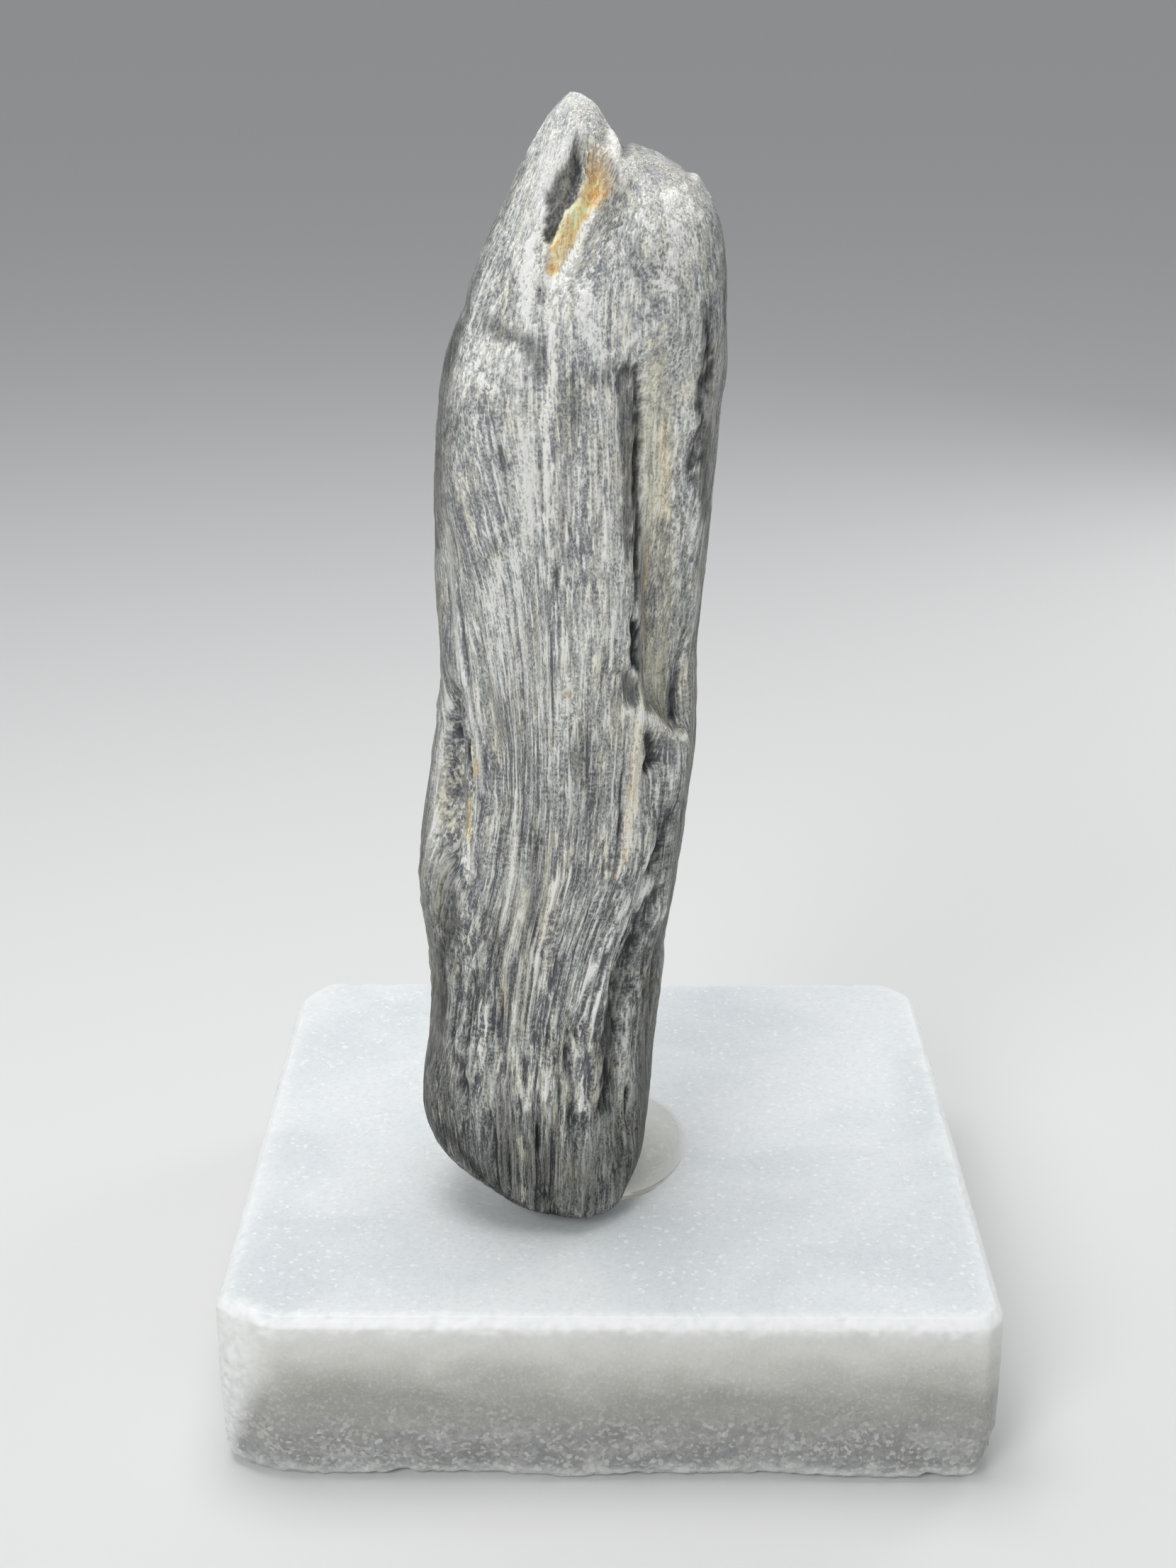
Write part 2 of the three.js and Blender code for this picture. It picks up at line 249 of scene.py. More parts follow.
class Graph:
    """A material's node tree, with a short call for each kind of node used here."""

    def __init__(self, name: str) -> None:
        """Starts a material with a Principled shader."""
        self.material = bpy.data.materials.new(name)
        self.material.use_nodes = True
        self.tree = self.material.node_tree
        self.shader = self.tree.nodes["Principled BSDF"]

    def node(self, kind: str, inputs: dict | None = None, **settings: object) -> Outputs:
        """Adds a node.

        Args:
            kind: its type, without the leading ShaderNode.
            inputs: a value or another node's output for each input, by name or place.
            settings: its own properties.

        Returns:
            The node's outputs.
        """
        made = self.tree.nodes.new("ShaderNode" + kind)
        for name, value in settings.items():
            setattr(made, name, value)
        for key, value in (inputs or {}).items():
            self.feed(made.inputs[key], value)
        return made.outputs

    def feed(self, socket: Socket, value: object) -> None:
        """Links an output to a socket, or sets the socket to a plain value."""
        if isinstance(value, Socket):
            self.tree.links.new(value, socket)
        else:
            socket.default_value = value

    def places(self) -> Socket:
        """Each point's place on the piece, in metres."""
        return self.node("TexCoord")["Object"]

    def attribute(self, name: str) -> Outputs:
        """The outputs for one of the piece's own values."""
        return self.node("Attribute", attribute_name=name)

    def axes(self, vector: Socket) -> Outputs:
        """A vector's three numbers."""
        return self.node("SeparateXYZ", {0: vector})

    def stretched(self, vector: Socket, scale: float | Triple) -> Socket:
        """A vector scaled, by one number or along each axis."""
        scales = scale if isinstance(scale, tuple) else (scale,) * 3
        return self.node("VectorMath", {0: vector, 1: scales}, operation="MULTIPLY")[0]

    def noise(self, vector: Socket, scale: float | Triple, detail: float = 2, warp: float = 0) -> Socket:
        """Noise from 0 to 1.

        Args:
            vector: where it is looked up.
            scale: how often it changes, along all axes or along each.
            detail: how many finer layers it has.
            warp: how far it is bent by itself.

        Returns:
            The noise's value.
        """
        place = self.stretched(vector, scale)
        inputs = {"Vector": place, "Scale": 1.0, "Detail": detail, "Distortion": warp}
        return self.node("TexNoise", inputs)["Fac"]

    def crystals(self, vector: Socket, scale: float | Triple) -> Socket:
        """A random value from 0 to 1 for each crystal, the same all over the crystal."""
        cells = self.node("TexVoronoi", {"Vector": self.stretched(vector, scale), "Scale": 1.0})
        return self.node("SeparateColor", {0: cells["Color"]})[0]

    def spread(self, value: Socket, low: float, high: float, start: float = 0, end: float = 1) -> Socket:
        """A smooth rise from start at low to end at high."""
        inputs = {"Value": value, 1: low, 2: high, 3: start, 4: end}
        return self.node("MapRange", inputs, interpolation_type="SMOOTHSTEP")[0]

    def math(self, operation: str, first: object, second: object, clamp: bool = False) -> Socket:
        """The outcome of a sum on two values."""
        return self.node("Math", {0: first, 1: second}, operation=operation, use_clamp=clamp)[0]

    def weigh(self, parts: list[tuple[Socket, float]], start: float = 0.0) -> Socket:
        """Adds up values, each with its weight.

        Args:
            parts: the values and their weights.
            start: what is added to them.

        Returns:
            The sum, held between 0 and 1.
        """
        total: object = start
        for value, weight in parts:
            total = self.node("Math", {0: value, 1: weight, 2: total}, operation="MULTIPLY_ADD")[0]
        return self.math("ADD", total, 0.0, clamp=True)

    def mix(self, factor: object, first: object, second: object) -> Socket:
        """A colour between two colours."""
        inputs = {0: factor, 6: first, 7: second}
        return self.node("Mix", inputs, data_type="RGBA")[2]

    def between(self, factor: Socket, first: object, second: object) -> Socket:
        """A value between two values."""
        return self.node("Mix", {0: factor, 2: first, 3: second})[0]

    def shaded(self, colour: Socket, shade: Socket) -> Socket:
        """A colour made paler where shade is above 0 and darker where it is below."""
        palest = (0.93, 0.92, 0.90)
        at_one = 6.0                             # how much paler a shade of 1 makes it
        strength = self.math("POWER", at_one, shade)
        scaled = self.node("VectorMath", {0: colour, "Scale": strength}, operation="SCALE")[0]
        return self.node("VectorMath", {0: scaled, 1: palest}, operation="MINIMUM")[0]

    def bump(self, height: Socket, depth: float, under: Socket | None = None) -> Socket:
        """A normal roughened by a height.

        Args:
            height: the height, from 0 to 1.
            depth: what a height of 1 is in millimetres.
            under: a normal to start from.

        Returns:
            The new normal.
        """
        inputs = {"Strength": 1.0, "Distance": depth * MM, "Height": height}
        if under is not None:
            inputs["Normal"] = under
        return self.node("Bump", inputs)[0]

    def finish(self, **inputs: object) -> bpy.types.Material:
        """Feeds the shader.

        Args:
            inputs: its inputs, with _ for the spaces in their names.

        Returns:
            The material.
        """
        for name, value in inputs.items():
            self.feed(self.shader.inputs[name.replace("_", " ")], value)
        return self.material


@dataclass(frozen=True)
class MarbleFinish:
    """Sugary white marble: honed on top, saw-cut and crumbly down its sides."""

    honed: tuple = tone(237, 241, 242)
    cloud: tuple = tone(214, 221, 223)
    cut: tuple = tone(216, 215, 208)
    # darker saw-cut stone low on the sides, partly painted shade toward the floor
    cut_low: tuple = tone(165, 164, 157)
    crumbly: tuple = tone(186, 186, 186)
    shade: tuple = tone(142, 142, 143)
    sugar: tuple = tone(250, 251, 250)

    def material(self) -> bpy.types.Material:
        """The marble's material."""
        graph = Graph("honed_marble")
        places = graph.places()
        rough, arris, side = graph.axes(graph.attribute("surface")["Vector"])
        height = graph.axes(places)[2]
        clouds = graph.noise(places, PER_MM * 0.035, 4, 0.6)
        patches = graph.noise(places, (PER_MM * 0.10, PER_MM * 0.10, PER_MM * 0.16), 3, 0.4)
        grains = graph.noise(places, PER_MM * 2.1, 3, 0.6)
        fine = graph.noise(places, PER_MM * 4.2, 2)
        sugars = graph.crystals(places, PER_MM * 2.0)
        body = graph.mix(graph.spread(clouds, 0.35, 0.75, 0, 0.7), self.honed, self.cloud)
        body = graph.mix(graph.spread(fine, 0.4, 0.7, 0, 0.25), body, self.sugar)
        # the sides darken toward the floor: partly the saw-cut stone, partly painted shade
        fall = graph.weigh([(graph.spread(height, 0.021, 0.011), 1.0), (patches, 1.2)], -0.6)
        body = graph.mix(side, body, graph.mix(fall, self.cut, self.cut_low))
        body = graph.mix(graph.spread(grains, 0.45, 0.80, 0, 0.26), body, self.sugar)
        body = graph.mix(graph.spread(sugars, 0.50, 0.0, 0, 0.08), body, self.shade)
        pitted = graph.mix(graph.spread(patches, 0.30, 0.70), self.shade, self.crumbly)
        pitted = graph.mix(graph.spread(sugars, 0.50, 1.0, 0, 0.75), pitted, self.cut)
        pitted = graph.mix(graph.spread(sugars, 0.42, 0.0, 0, 0.55), pitted, self.shade)
        body = graph.mix(rough, body, pitted)
        # painted glints: single crystals made bright, more on the top than on the sides
        painted_glint = graph.spread(sugars, 0.94, 0.98)
        painted_sparkle = graph.math("MULTIPLY", painted_glint, graph.spread(side, 0.0, 1.0, 0.8, 0.1))
        # painted sparkle and the pale edges turn to sugar; the edges are partly painted light
        body = graph.mix(graph.math("MAXIMUM", painted_sparkle, arris), body, self.sugar)
        skin = graph.weigh([(grains, 0.6), (fine, 0.4)])
        deep = graph.math("MULTIPLY", graph.weigh([(grains, 0.8), (sugars, 0.3)]), rough)
        return graph.finish(
            Base_Color=body,
            Roughness=graph.weigh([(rough, 0.35), (arris, 0.2), (fine, 0.12)], 0.30),
            Normal=graph.bump(deep, 0.4, graph.bump(skin, 0.03)),
            IOR=1.5,
            Subsurface_Weight=0.25,
            Subsurface_Radius=(1.0, 0.95, 0.85),
            Subsurface_Scale=0.003,
        )


@dataclass(frozen=True)
class ResinFinish:
    """Clear set resin, a little warm and grey."""

    clear: tuple = (1.0, 0.998, 0.99, 1.0)
    absorbed: tuple = (0.85, 0.82, 0.74, 1.0)
    density: float = 48.0

    def material(self) -> bpy.types.Material:
        """The resin's material, with faint sink marks on its skin."""
        graph = Graph("clear_resin")
        places = graph.places()
        waves = graph.noise(places, (PER_MM * 0.12, PER_MM * 0.12, PER_MM * 0.5), 2, 0.4)
        haze = graph.noise(places, PER_MM * 0.8, 3)
        volume = graph.node("VolumeAbsorption", {"Color": self.absorbed, "Density": self.density})
        graph.feed(graph.tree.nodes["Material Output"].inputs["Volume"], volume[0])
        return graph.finish(
            Base_Color=self.clear,
            Roughness=graph.spread(haze, 0.4, 0.8, 0.02, 0.10),
            Normal=graph.bump(waves, 0.12),
            IOR=1.5,
            Transmission_Weight=1.0,
        )


@dataclass(frozen=True)
class WoodFinish:
    """Petrified wood: slate grey with pale fibres and cream and ochre stains, paler upward in part by
    painted light from above.
    """

    # the low and high ends differ partly in the stone's own tone and partly in painted light from above
    slate_low: tuple = tone(20, 21, 24)
    slate_high: tuple = tone(131, 134, 139)
    pale_low: tuple = tone(200, 201, 194)
    pale_high: tuple = tone(255, 254, 246)
    cream_low: tuple = tone(204, 195, 166)
    cream_high: tuple = tone(255, 250, 224)
    ochre: tuple = tone(214, 164, 98)
    ochre_pale: tuple = tone(245, 218, 166)
    # the colour of the painted shade in pits and slits
    pit: tuple = tone(24, 22, 21)

    def material(self) -> bpy.types.Material:
        """The wood's material, laid along its fibres."""
        graph = Graph("petrified_wood")
        grain = graph.attribute("grain")["Vector"]
        stains_and_pit_shade = graph.attribute("stains_and_pit_shade")
        # dark carries the painted shade in pits and slits
        ochre, cream, dark = graph.node("SeparateColor", {0: stains_and_pit_shade["Color"]})
        grit = stains_and_pit_shade["Alpha"]
        crest, calm, ribbed = graph.axes(graph.attribute("surface")["Vector"])
        grains = graph.noise(grain, (4.2, 4.2, 2.6), 2, 0.5)
        threads = graph.noise(grain, (2.8, 2.8, 0.24), 2, 0.45)
        lines = graph.noise(grain, (1.8, 1.8, 0.06), 2, 0.4)
        streaks = graph.noise(grain, (0.65, 0.65, 0.032), 2, 0.4)
        clouds = graph.noise(grain, (0.15, 0.15, 0.07), 2, 0.4)
        crumbs = graph.noise(grain, (1.4, 1.4, 1.0), 3, 0.6)
        ribs = graph.noise(grain, (0.45, 0.45, 2.4), 1, 0.3)
        warmth = graph.noise(grain, (0.5, 0.5, 0.12), 2, 0.5)

        # paler upward: partly the stone's own tone, partly painted light from above
        up = graph.spread(graph.axes(grain)[2], -90.0, 150.0)
        slate = graph.mix(up, self.slate_low, self.slate_high)
        pale = graph.mix(up, self.pale_low, self.pale_high)
        creamy = graph.math("MULTIPLY", cream, graph.spread(streaks, 0.36, 0.56, 0.45, 1.0))
        creamy = graph.math("MAXIMUM", creamy, graph.spread(warmth, 0.48, 0.66, 0.0, 0.6))
        pale = graph.mix(creamy, pale, graph.mix(up, self.cream_low, self.cream_high))

        ribbing = graph.math("MULTIPLY", graph.spread(ribs, 0.38, 0.62, -0.5, 0.5), ribbed)
        glints = graph.spread(threads, 0.47, 0.69)
        slits = graph.spread(lines, 0.32, 0.46)
        bright_crumbs = graph.spread(crumbs, 0.50, 0.64)
        along = [(glints, 0.64), (slits, 0.10), (lines, 0.7), (grains, 1.4), (streaks, 0.6), (clouds, 0.8)]
        broken = [(bright_crumbs, 0.60), (crumbs, 0.9), (grains, 1.5), (clouds, 0.8)]
        pattern = graph.between(grit, graph.weigh(along, -1.52), graph.weigh(broken, -1.26))
        pattern = graph.between(graph.math("MULTIPLY", calm, 0.6), pattern, 0.47)
        # crest: worn crests paler, and painted shade in the relief's hollows
        parts = [(pattern, 1.2), (crest, 1.05), (ribbing, 0.28), (cream, 0.12)]
        body = graph.mix(graph.weigh(parts, -0.64), slate, pale)
        rusty = graph.mix(graph.spread(crumbs, 0.30, 0.60), self.ochre, self.ochre_pale)
        rust = graph.math("MULTIPLY", ochre, graph.spread(grains, 0.3, 0.6, 0.55, 1.0))
        body = graph.mix(rust, body, rusty)
        body = graph.shaded(body, graph.attribute("shade")["Fac"])
        relief = graph.weigh([(grains, 0.4), (glints, 0.12), (lines, 0.9), (ribbing, 0.2)])
        return graph.finish(
            # pits and slits are darkened with painted shade
            Base_Color=graph.mix(dark, body, self.pit),
            Roughness=graph.weigh([(grains, 0.2), (calm, -0.15)], 0.72),
            Normal=graph.bump(relief, 0.35),
            IOR=1.5,
            Specular_IOR_Level=0.3,
        )


@dataclass(frozen=True)
class FloorFinish:
    """A plain pale floor."""

    pale: tuple = (0.80, 0.80, 0.79, 1.0)

    def material(self) -> bpy.types.Material:
        """The floor's material."""
        graph = Graph("plain_floor")
        mottle = graph.noise(graph.places(), 0.8)
        return graph.finish(Base_Color=self.pale, Roughness=graph.spread(mottle, 0.3, 0.7, 0.85, 0.95))


@dataclass(frozen=True)
class Mark:
    """One feature of the wood's skin, drawn as a stroke on one side of it."""

    path: tuple[Triple, ...]                      # across, height, half width
    cut: float = 0.0                              # depth; below 0 it stands proud
    edge: float = 1.0                             # share of the half width that fades out
    # dark: painted shade on the floors of pits, slits and hollows
    dark: float = 0.0
    ochre: float = 0.0
    cream: float = 0.0
    grit: float = 0.0
    calm: float = 0.0
    # shade: some marks use it for painted shade and painted light, others for the stone's own tone
    shade: float = 0.0                            # above 0 it is paler than its surroundings
    ragged: float = 0.0                           # how far its edge wanders
    side: Side = Side.FRONT
    through: bool = False                         # it shapes the skyline, so it goes right through

    def cover(self, across: Array, height: Array, wander: Array) -> Array:
        """How much of the mark each point has.

        Args:
            across: the points' places across the side.
            height: their heights.
            wander: noise that bends the mark's edge.

        Returns:
            From 0 outside the mark to 1 in its middle.
        """
        never_zero = 1e-9
        best = np.full(across.shape, np.inf)
        for (x1, h1, w1), (x2, h2, w2) in zip(self.path, self.path[1:] or self.path):
            run = np.array([x2 - x1, h2 - h1])
            squared = max(float(run @ run), never_zero)
            share = np.clip(((across - x1) * run[0] + (height - h1) * run[1]) / squared, 0, 1)
            away = np.hypot(across - x1 - share * run[0], height - h1 - share * run[1])
            best = np.minimum(best, (away + self.ragged * wander) / (w1 + share * (w2 - w1)))
        return smooth_step(1.0, 1.0 - self.edge, best)


def mark(*path: Triple, **look: float) -> Mark:
    """A mark of any other look."""
    return Mark(path, **look)


def pit(cut: float, dark: float, ragged: float, *path: Triple, **look: float) -> Mark:
    """A pit, or a slit: a cut whose floor is darkened with painted shade."""
    return Mark(path, cut=cut, dark=dark, ragged=ragged, **look)


def groove(cut: float, shade: float, ragged: float, *path: Triple, **look: float) -> Mark:
    """A groove, or a raised thread where cut is below 0, with a tone of its own."""
    return Mark(path, cut=cut, shade=shade, ragged=ragged, **look)


def streak(cream: float, shade: float, ragged: float, *path: Triple, **look: float) -> Mark:
    """A cream streak."""
    return Mark(path, cream=cream, shade=shade, ragged=ragged, **look)


def band(shade: float, ragged: float, *path: Triple, **look: float) -> Mark:
    """A band that is paler or darker than the skin beside it."""
    return Mark(path, shade=shade, ragged=ragged, **look)


def on_side(side: Side, *marks: Mark) -> tuple[Mark, ...]:
    """The same marks on another side."""
    return tuple(replace(mark, side=side) for mark in marks)


HEAD_MARKS = (
    # the split below the tip: its floor, its wall darkened with painted shade under the overhang, and the
    # cream that drips from it
    streak(.8, 0, .5, (-2.8, 143.4, 1), (-1.9, 142.2, 1.9), (-2.4, 140, 2.6), (-3.2, 138, 2.7),
        (-4.4, 136, 2.3), (-5.4, 133.8, 2.1), (-6.1, 131.4, 1.9), (-6.7, 129.4, 1.3), (-7, 127.8, .6),
        cut=.8, edge=.35, grit=.8),
    band(.08, .6, (-1.6, 140.6, 1.6), (-1.2, 138.9, 2.3), (-2.2, 137.2, 2), (-3.6, 135.6, 1.8),
        (-4.6, 134.2, 1.8), (-5.6, 132.7, 1.8), (-6.3, 131.2, 1.6), (-6.9, 129.6, 1.2), (-7.1, 128, .6),
        ochre=1, edge=.5),
    streak(.9, .25, .5, (-1.8, 142.8, 1), (-.9, 141.4, 1.4), ochre=.3),
    pit(1.3, .45, .5, (-3.8, 143.1, .5), (-4.3, 141.5, .9), (-4.9, 139.8, 1.4), (-5.5, 138.2, 1.8),
        (-6.6, 136.7, 1.5), (-7.2, 134.9, 1), (-7.7, 133.2, .6), (-7.8, 132.1, .4), edge=.4, shade=-.35),
    band(.4, .3, (-5.2, 137.2, .3), (-4.4, 139, .3)),
    streak(.8, .25, .5, (-7, 127.6, .7), (-7.4, 125.2, .6), (-7.1, 122, .5)),
    streak(.5, .3, .8, (-9.3, 132.2, .9), (-10, 129.4, 1.6), (-10.5, 126.4, 1.9), (-10.4, 123.6, 1.2),
        grit=.4, calm=.3),
    pit(.7, .6, .2, (-8.7, 126.6, .4), (-8.3, 125, .5)),
    # the skyline: a blunt tip, a notch, a knob and a square shoulder
    mark((-4, 149.6, 2), (-1.6, 148, 2.8), (.2, 145.4, 1.6), cut=-1.6, through=True),
    mark((1.4, 144.2, 1), (1.6, 141.4, .7), cut=1, through=True),
    mark((4.6, 143.8, 1.6), (6.4, 142.8, 1.6), cut=-1.4, ragged=.2, through=True),
    mark((9, 142.2, 1), (9.2, 139.2, .8), cut=.5, through=True),
    mark((10.4, 138.6, 1.5), (12, 137.4, 1.6), (12.6, 136, 1.2), cut=-1.5, ragged=.2, through=True),
    mark((-18.8, 124, .8), (-17.6, 122.4, .7), cut=.5, through=True),
    # tones: a pale tip, partly painted light; a slate cap on the knob; edges darkened with painted shade
    band(.1, 0, (-3.6, 147.6, 4), (-6.6, 143, 3.4), (-8.6, 138, 2.6), (-11, 132, 2.6), calm=.5),
    band(-.4, .5, (2.4, 142.6, 1.6), (4, 143.2, 2.2), (5.8, 142.8, 2.2), (7.8, 141, 1.8), (9.8, 139.4, 1),
        calm=.6, edge=.7, through=True),
    groove(-.2, .15, .2, (-.9, 144.7, .35), (0, 143, .35), (1.5, 141.8, .3)),
    groove(.3, -.4, .2, (.2, 144.2, .4), (1.1, 142.6, .4)),
    band(-.3, .5, (-10.6, 141, .8), (-13, 135.4, .8), (-16.2, 129, .9), (-18, 123, .9), (-20.6, 116, 1.2)),
    groove(-.5, -.2, 0, (-4.6, 126.6, .6), (-3.4, 131, .9), (-1.2, 134.6, 1.2), (1.6, 138.6, 1)),
    band(-.22, 1.2, (1, 137, 2.6), (-.6, 132.6, 3.2), (-2.4, 128.6, 2.4), grit=.9),
    groove(-.2, .32, 1.4, (7.3, 136.7, 1.8), (7.9, 133.4, 2.8), (8, 130.4, 2.6), (6, 127.2, 2), cream=.8,
        grit=1),
    band(-.4, .4, (12.6, 137, .8), (13.8, 130, .7), (14, 122, .9)),
    band(-.15, 1, (3.4, 129.6, 2.6), (4.6, 125.4, 1.6), grit=.6),
    # the cream edge above the step, and the slate below it, darkened partly with painted shade under the
    # step
    streak(.8, .3, .9, (-3, 125.4, 1.8), (-2.8, 122.4, 1.9), (-2.2, 119.8, 1), grit=.6),
    groove(-.35, .35, .7, (-3.6, 119.6, .5), (-2.2, 118.6, .6), (-.4, 118.9, .5), (1.2, 119.4, .5),
        (2.8, 121.4, .4), cream=.6),
    groove(.4, -.2, .9, (-2.4, 116.2, 1.2), (.4, 116.4, 1.9), (2, 117.4, 1.2)),
    streak(.6, 0, .7, (6.6, 122, 1.6), (5.4, 119.4, 1)),
    band(-.4, 1, (-15, 122, 1.8), (-11.6, 121, 1.8), (-9, 119.4, 1.4), (-8.2, 116.6, 1), calm=.3),
    streak(.9, .5, .3, (-11.8, 119.8, .3), (-10.9, 118.4, .3), (-10.5, 116.8, .25)),
)

FRONT_MARKS = (
    # tones of the left half, with painted shade down its left flank
    band(.14, 1.4, (-17, 117.6, 2.2), (-15, 115, 2), grit=.7),
    band(-.35, .8, (-19, 121, 1.6), (-22, 113, 2.2), (-22.6, 104, 2.4), (-22.4, 94, 2)),
    band(-.2, 1.2, (-19.4, 111, 2.2), (-20, 104, 1.8), (-18.6, 98, 1.6), grit=.4),
    band(-.4, .7, (-13.2, 107.4, 1), (-12.6, 105.6, .9)),
    streak(.45, .24, 1.2, (-10, 111, 1.6), (-10.6, 106, 2.4), (-10.2, 100, 2.4), (-11, 93, 1.8)),
    streak(.45, .2, 1.2, (-14, 91, 1.5), (-14.2, 85.6, 2.6), (-15, 80, 1.2)),
    band(-.18, 1, (-13, 98, 1.6), (-16, 92, 1.4)),
    band(-.2, .8, (-14.8, 77, 1.6), (-13.4, 72, 1.8), calm=.3),
    band(.12, 1, (-14, 98, 4), (-13, 90, 5), (-12.6, 80, 4)),
    # the pale seam down the front, and the slit beside it
    groove(-.25, .34, .6, (-6.9, 122.6, .5), (-6.8, 117, .5), (-7.6, 114, 1.2), (-7.8, 110, 1),
        (-7.7, 104, .6), (-7.6, 97, .6), (-7.5, 91, .4), cream=.8),
    pit(.8, .7, 0, (-6.9, 94.4, .25), (-6.6, 92, .4), (-6.7, 89.4, .2)),
    pit(.4, .45, .2, (-8.6, 108.6, .25), (-8.5, 104, .3), (-8.4, 100, .2)),
    band(-.22, .7, (-4.4, 116, 2.2), (-5.2, 109, 1.5), (-5.8, 102, 1.2), (-6.2, 95, 1)),
    groove(-.15, .3, .15, (-3.4, 116.2, .25), (-3.7, 109.6, .25), (-3.9, 102.4, .25), (-4.1, 96.5, .2)),
    groove(-.15, .3, .15, (-2, 113.3, .25), (-2, 107.2, .25), (-1.7, 100, .25)),
    groove(-.12, .25, .15, (-5, 113, .2), (-5.2, 104, .25), (-5.4, 97, .2)),
    groove(-.12, .25, .15, (-.6, 112, .2), (-.5, 104, .25), (-.3, 97, .2)),
    streak(.7, 0, .3, (-2.2, 111, .7), (-1.8, 104, .8), (-2, 98, .5)),
    streak(.5, .2, .2, (-4.6, 111, .3), (-4.4, 104, .35), (-3.6, 97, .3)),
    # the slate beside the step's groove, darkened partly with painted shade, and the groove and its pits,
    # dark with painted shade
    groove(.4, -.5, .7, (1.6, 117, 1.6), (1.8, 111, 1.6), (2.2, 105, 1.5), (2, 99, 1.3), (2.2, 94, .6),
        calm=.4),
    pit(.8, .8, .3, (3, 118, .5), (3.2, 108, .7), (3.2, 98, .6), (3.2, 91, .4)),
    pit(.4, .6, .3, (3.3, 109.4, .5), (3.2, 104, .6)),
    pit(.4, .4, .3, (3.2, 91, .3), (3, 86.4, .3)),
    pit(1.1, .92, .3, (2.9, 86.2, .4), (3.1, 84, .6), (3, 81.4, .5), (3.4, 79.4, .4), edge=.5),
    band(.15, .8, (.6, 95, 2), (.8, 91.6, 1.6), grit=.4),
    streak(.8, .2, .2, (-1, 91.6, .4), (-1.2, 87.4, .5), (-1, 83, .3)),
    groove(-.15, .4, .2, (.4, 88, .35), (.1, 84, .4), (0, 79.6, .35), cream=.6),
    # the smooth beige strip to its right
    streak(.8, -.08, .35, (5.2, 119.6, 1.4), (5.6, 111, 2.3), (6.1, 105, 2.8), (5.8, 98, 2.6),
        (5.8, 90, 2.4), (5.8, 82, 2.1), (6, 76.6, 2), (6.5, 72, 1.2), (7.1, 70, .4), calm=.15, edge=.45),
    band(.3, .8, (6, 109, 1.2), (6.6, 104, 1.6), (6.2, 99, 1), ochre=.34),
    mark((4.3, 95, .4), (4.2, 91, .6), (4.2, 87, .5), (4.6, 82, .3), ochre=.5, ragged=.4),
    pit(.35, .6, 0, (4.2, 90, .12), (4.4, 84, .2), (4.3, 78.5, .12)),
    pit(.2, .22, 0, (7, 96, .2), (6.8, 86, .25), (6.9, 76, .2)),
    groove(-.1, .25, .15, (5, 116, .2), (5.3, 104, .25), (5.2, 92, .2)),
    groove(-.15, .3, .15, (7.8, 110, .2), (7.6, 98, .25), (7.4, 86, .2), (7.4, 76, .2)),
    groove(.1, -.25, .15, (6.4, 112, .2), (6.6, 100, .2), (6.2, 88, .2)),
    # the pitted ridge at the right
    band(-.45, .7, (11.2, 124, 1.4), (11.6, 118, 1.9), (10.8, 112, 1.4), (11.2, 106, 1.8),
        (11.4, 98, 1.4)),
    streak(.5, .4, .3, (9.3, 112, .5), (9.6, 110, .5), (10.4, 107, .5)),
    streak(.3, .3, .6, (10.4, 104.4, 1), (9.8, 99, 1), (9.4, 92, .8)),
    pit(.5, .65, .8, (11.4, 122, .4), (11.8, 117, .6), (10.6, 113, .6), (10.4, 108, .8), (9.6, 103, .4)),
    pit(.6, .85, 0, (9.8, 106.4, .25), (11.2, 105.3, .3)),
    pit(.6, .85, 0, (11.6, 119.6, .4), (12.2, 118.4, .4)),
    pit(.5, .7, 0, (12.4, 117.4, .35), (12.2, 115.4, .3)),
    band(-.35, .4, (9, 96, .5), (8.9, 86, .5), (9.1, 80.4, .4)),
    pit(.9, .85, .35, (9.1, 80, .4), (8.6, 75.8, .6), (8.3, 71.2, .5)),
    # the flat chip, the ledge under it and the hollow beneath, darkened with painted shade
    groove(.55, -.34, .15, (2.1, 78.6, .7), (2.6, 77, 1.15), (2.9, 75.2, .8), edge=.25, calm=.95),
    groove(-.6, .35, .4, (1.6, 74.2, .4), (3.6, 73.5, .5), (5.6, 72, .6), (7.7, 69.8, .6), (9.2, 68.9, .4),
        edge=.7, cream=.5, grit=.8),
    pit(1.1, .4, .5, (5, 70.2, .8), (5.3, 67.2, 1.3), (4.6, 65, .6), edge=.6, shade=-.5, calm=.2),
    groove(-.5, .18, .4, (8.3, 68, 1.6), (8, 64, 1.9), (7.6, 61, 1.2), calm=.4),
    # the cream band that runs down from the ledge
    groove(.1, .3, .4, (3.3, 72.4, 1.3), (3.1, 68, 1.3), (3, 65, 1.2), (2.6, 61.4, 1.1), (2.1, 57.4, 1),
        (1.7, 54.4, .8), (.8, 51.4, .6), cream=.9, ochre=.25, edge=.8),
    pit(.5, .55, .2, (1.3, 66, .25), (1.4, 61, .4), (1.1, 57, .3)),
    pit(.5, .5, .4, (7.2, 56.6, .6), (5.8, 57.4, .5)),
    pit(.7, .75, .4, (6.6, 55.2, .45), (5.9, 53, .7), (5.3, 50.8, .7)),
    # granular breaks and ribbed slate in the middle of the front
    streak(.6, .3, .9, (-5.2, 79.4, 1), (-5, 76.6, 1.2), (-4.8, 73.6, 1.4), grit=.9),
    mark((-5.4, 77.6, .4), (-5, 76.4, .4), ochre=.5, dark=.2, ragged=.3),
    streak(.7, .25, .3, (-8.2, 84.6, .5), (-8.4, 79.6, .5), (-8.9, 74.2, .5)),
    band(-.16, 1.2, (-3, 70.4, 3), (-2.4, 62, 3)),
    streak(.6, .3, .2, (-10.8, 67, .35), (-10.6, 62, .35)),
)

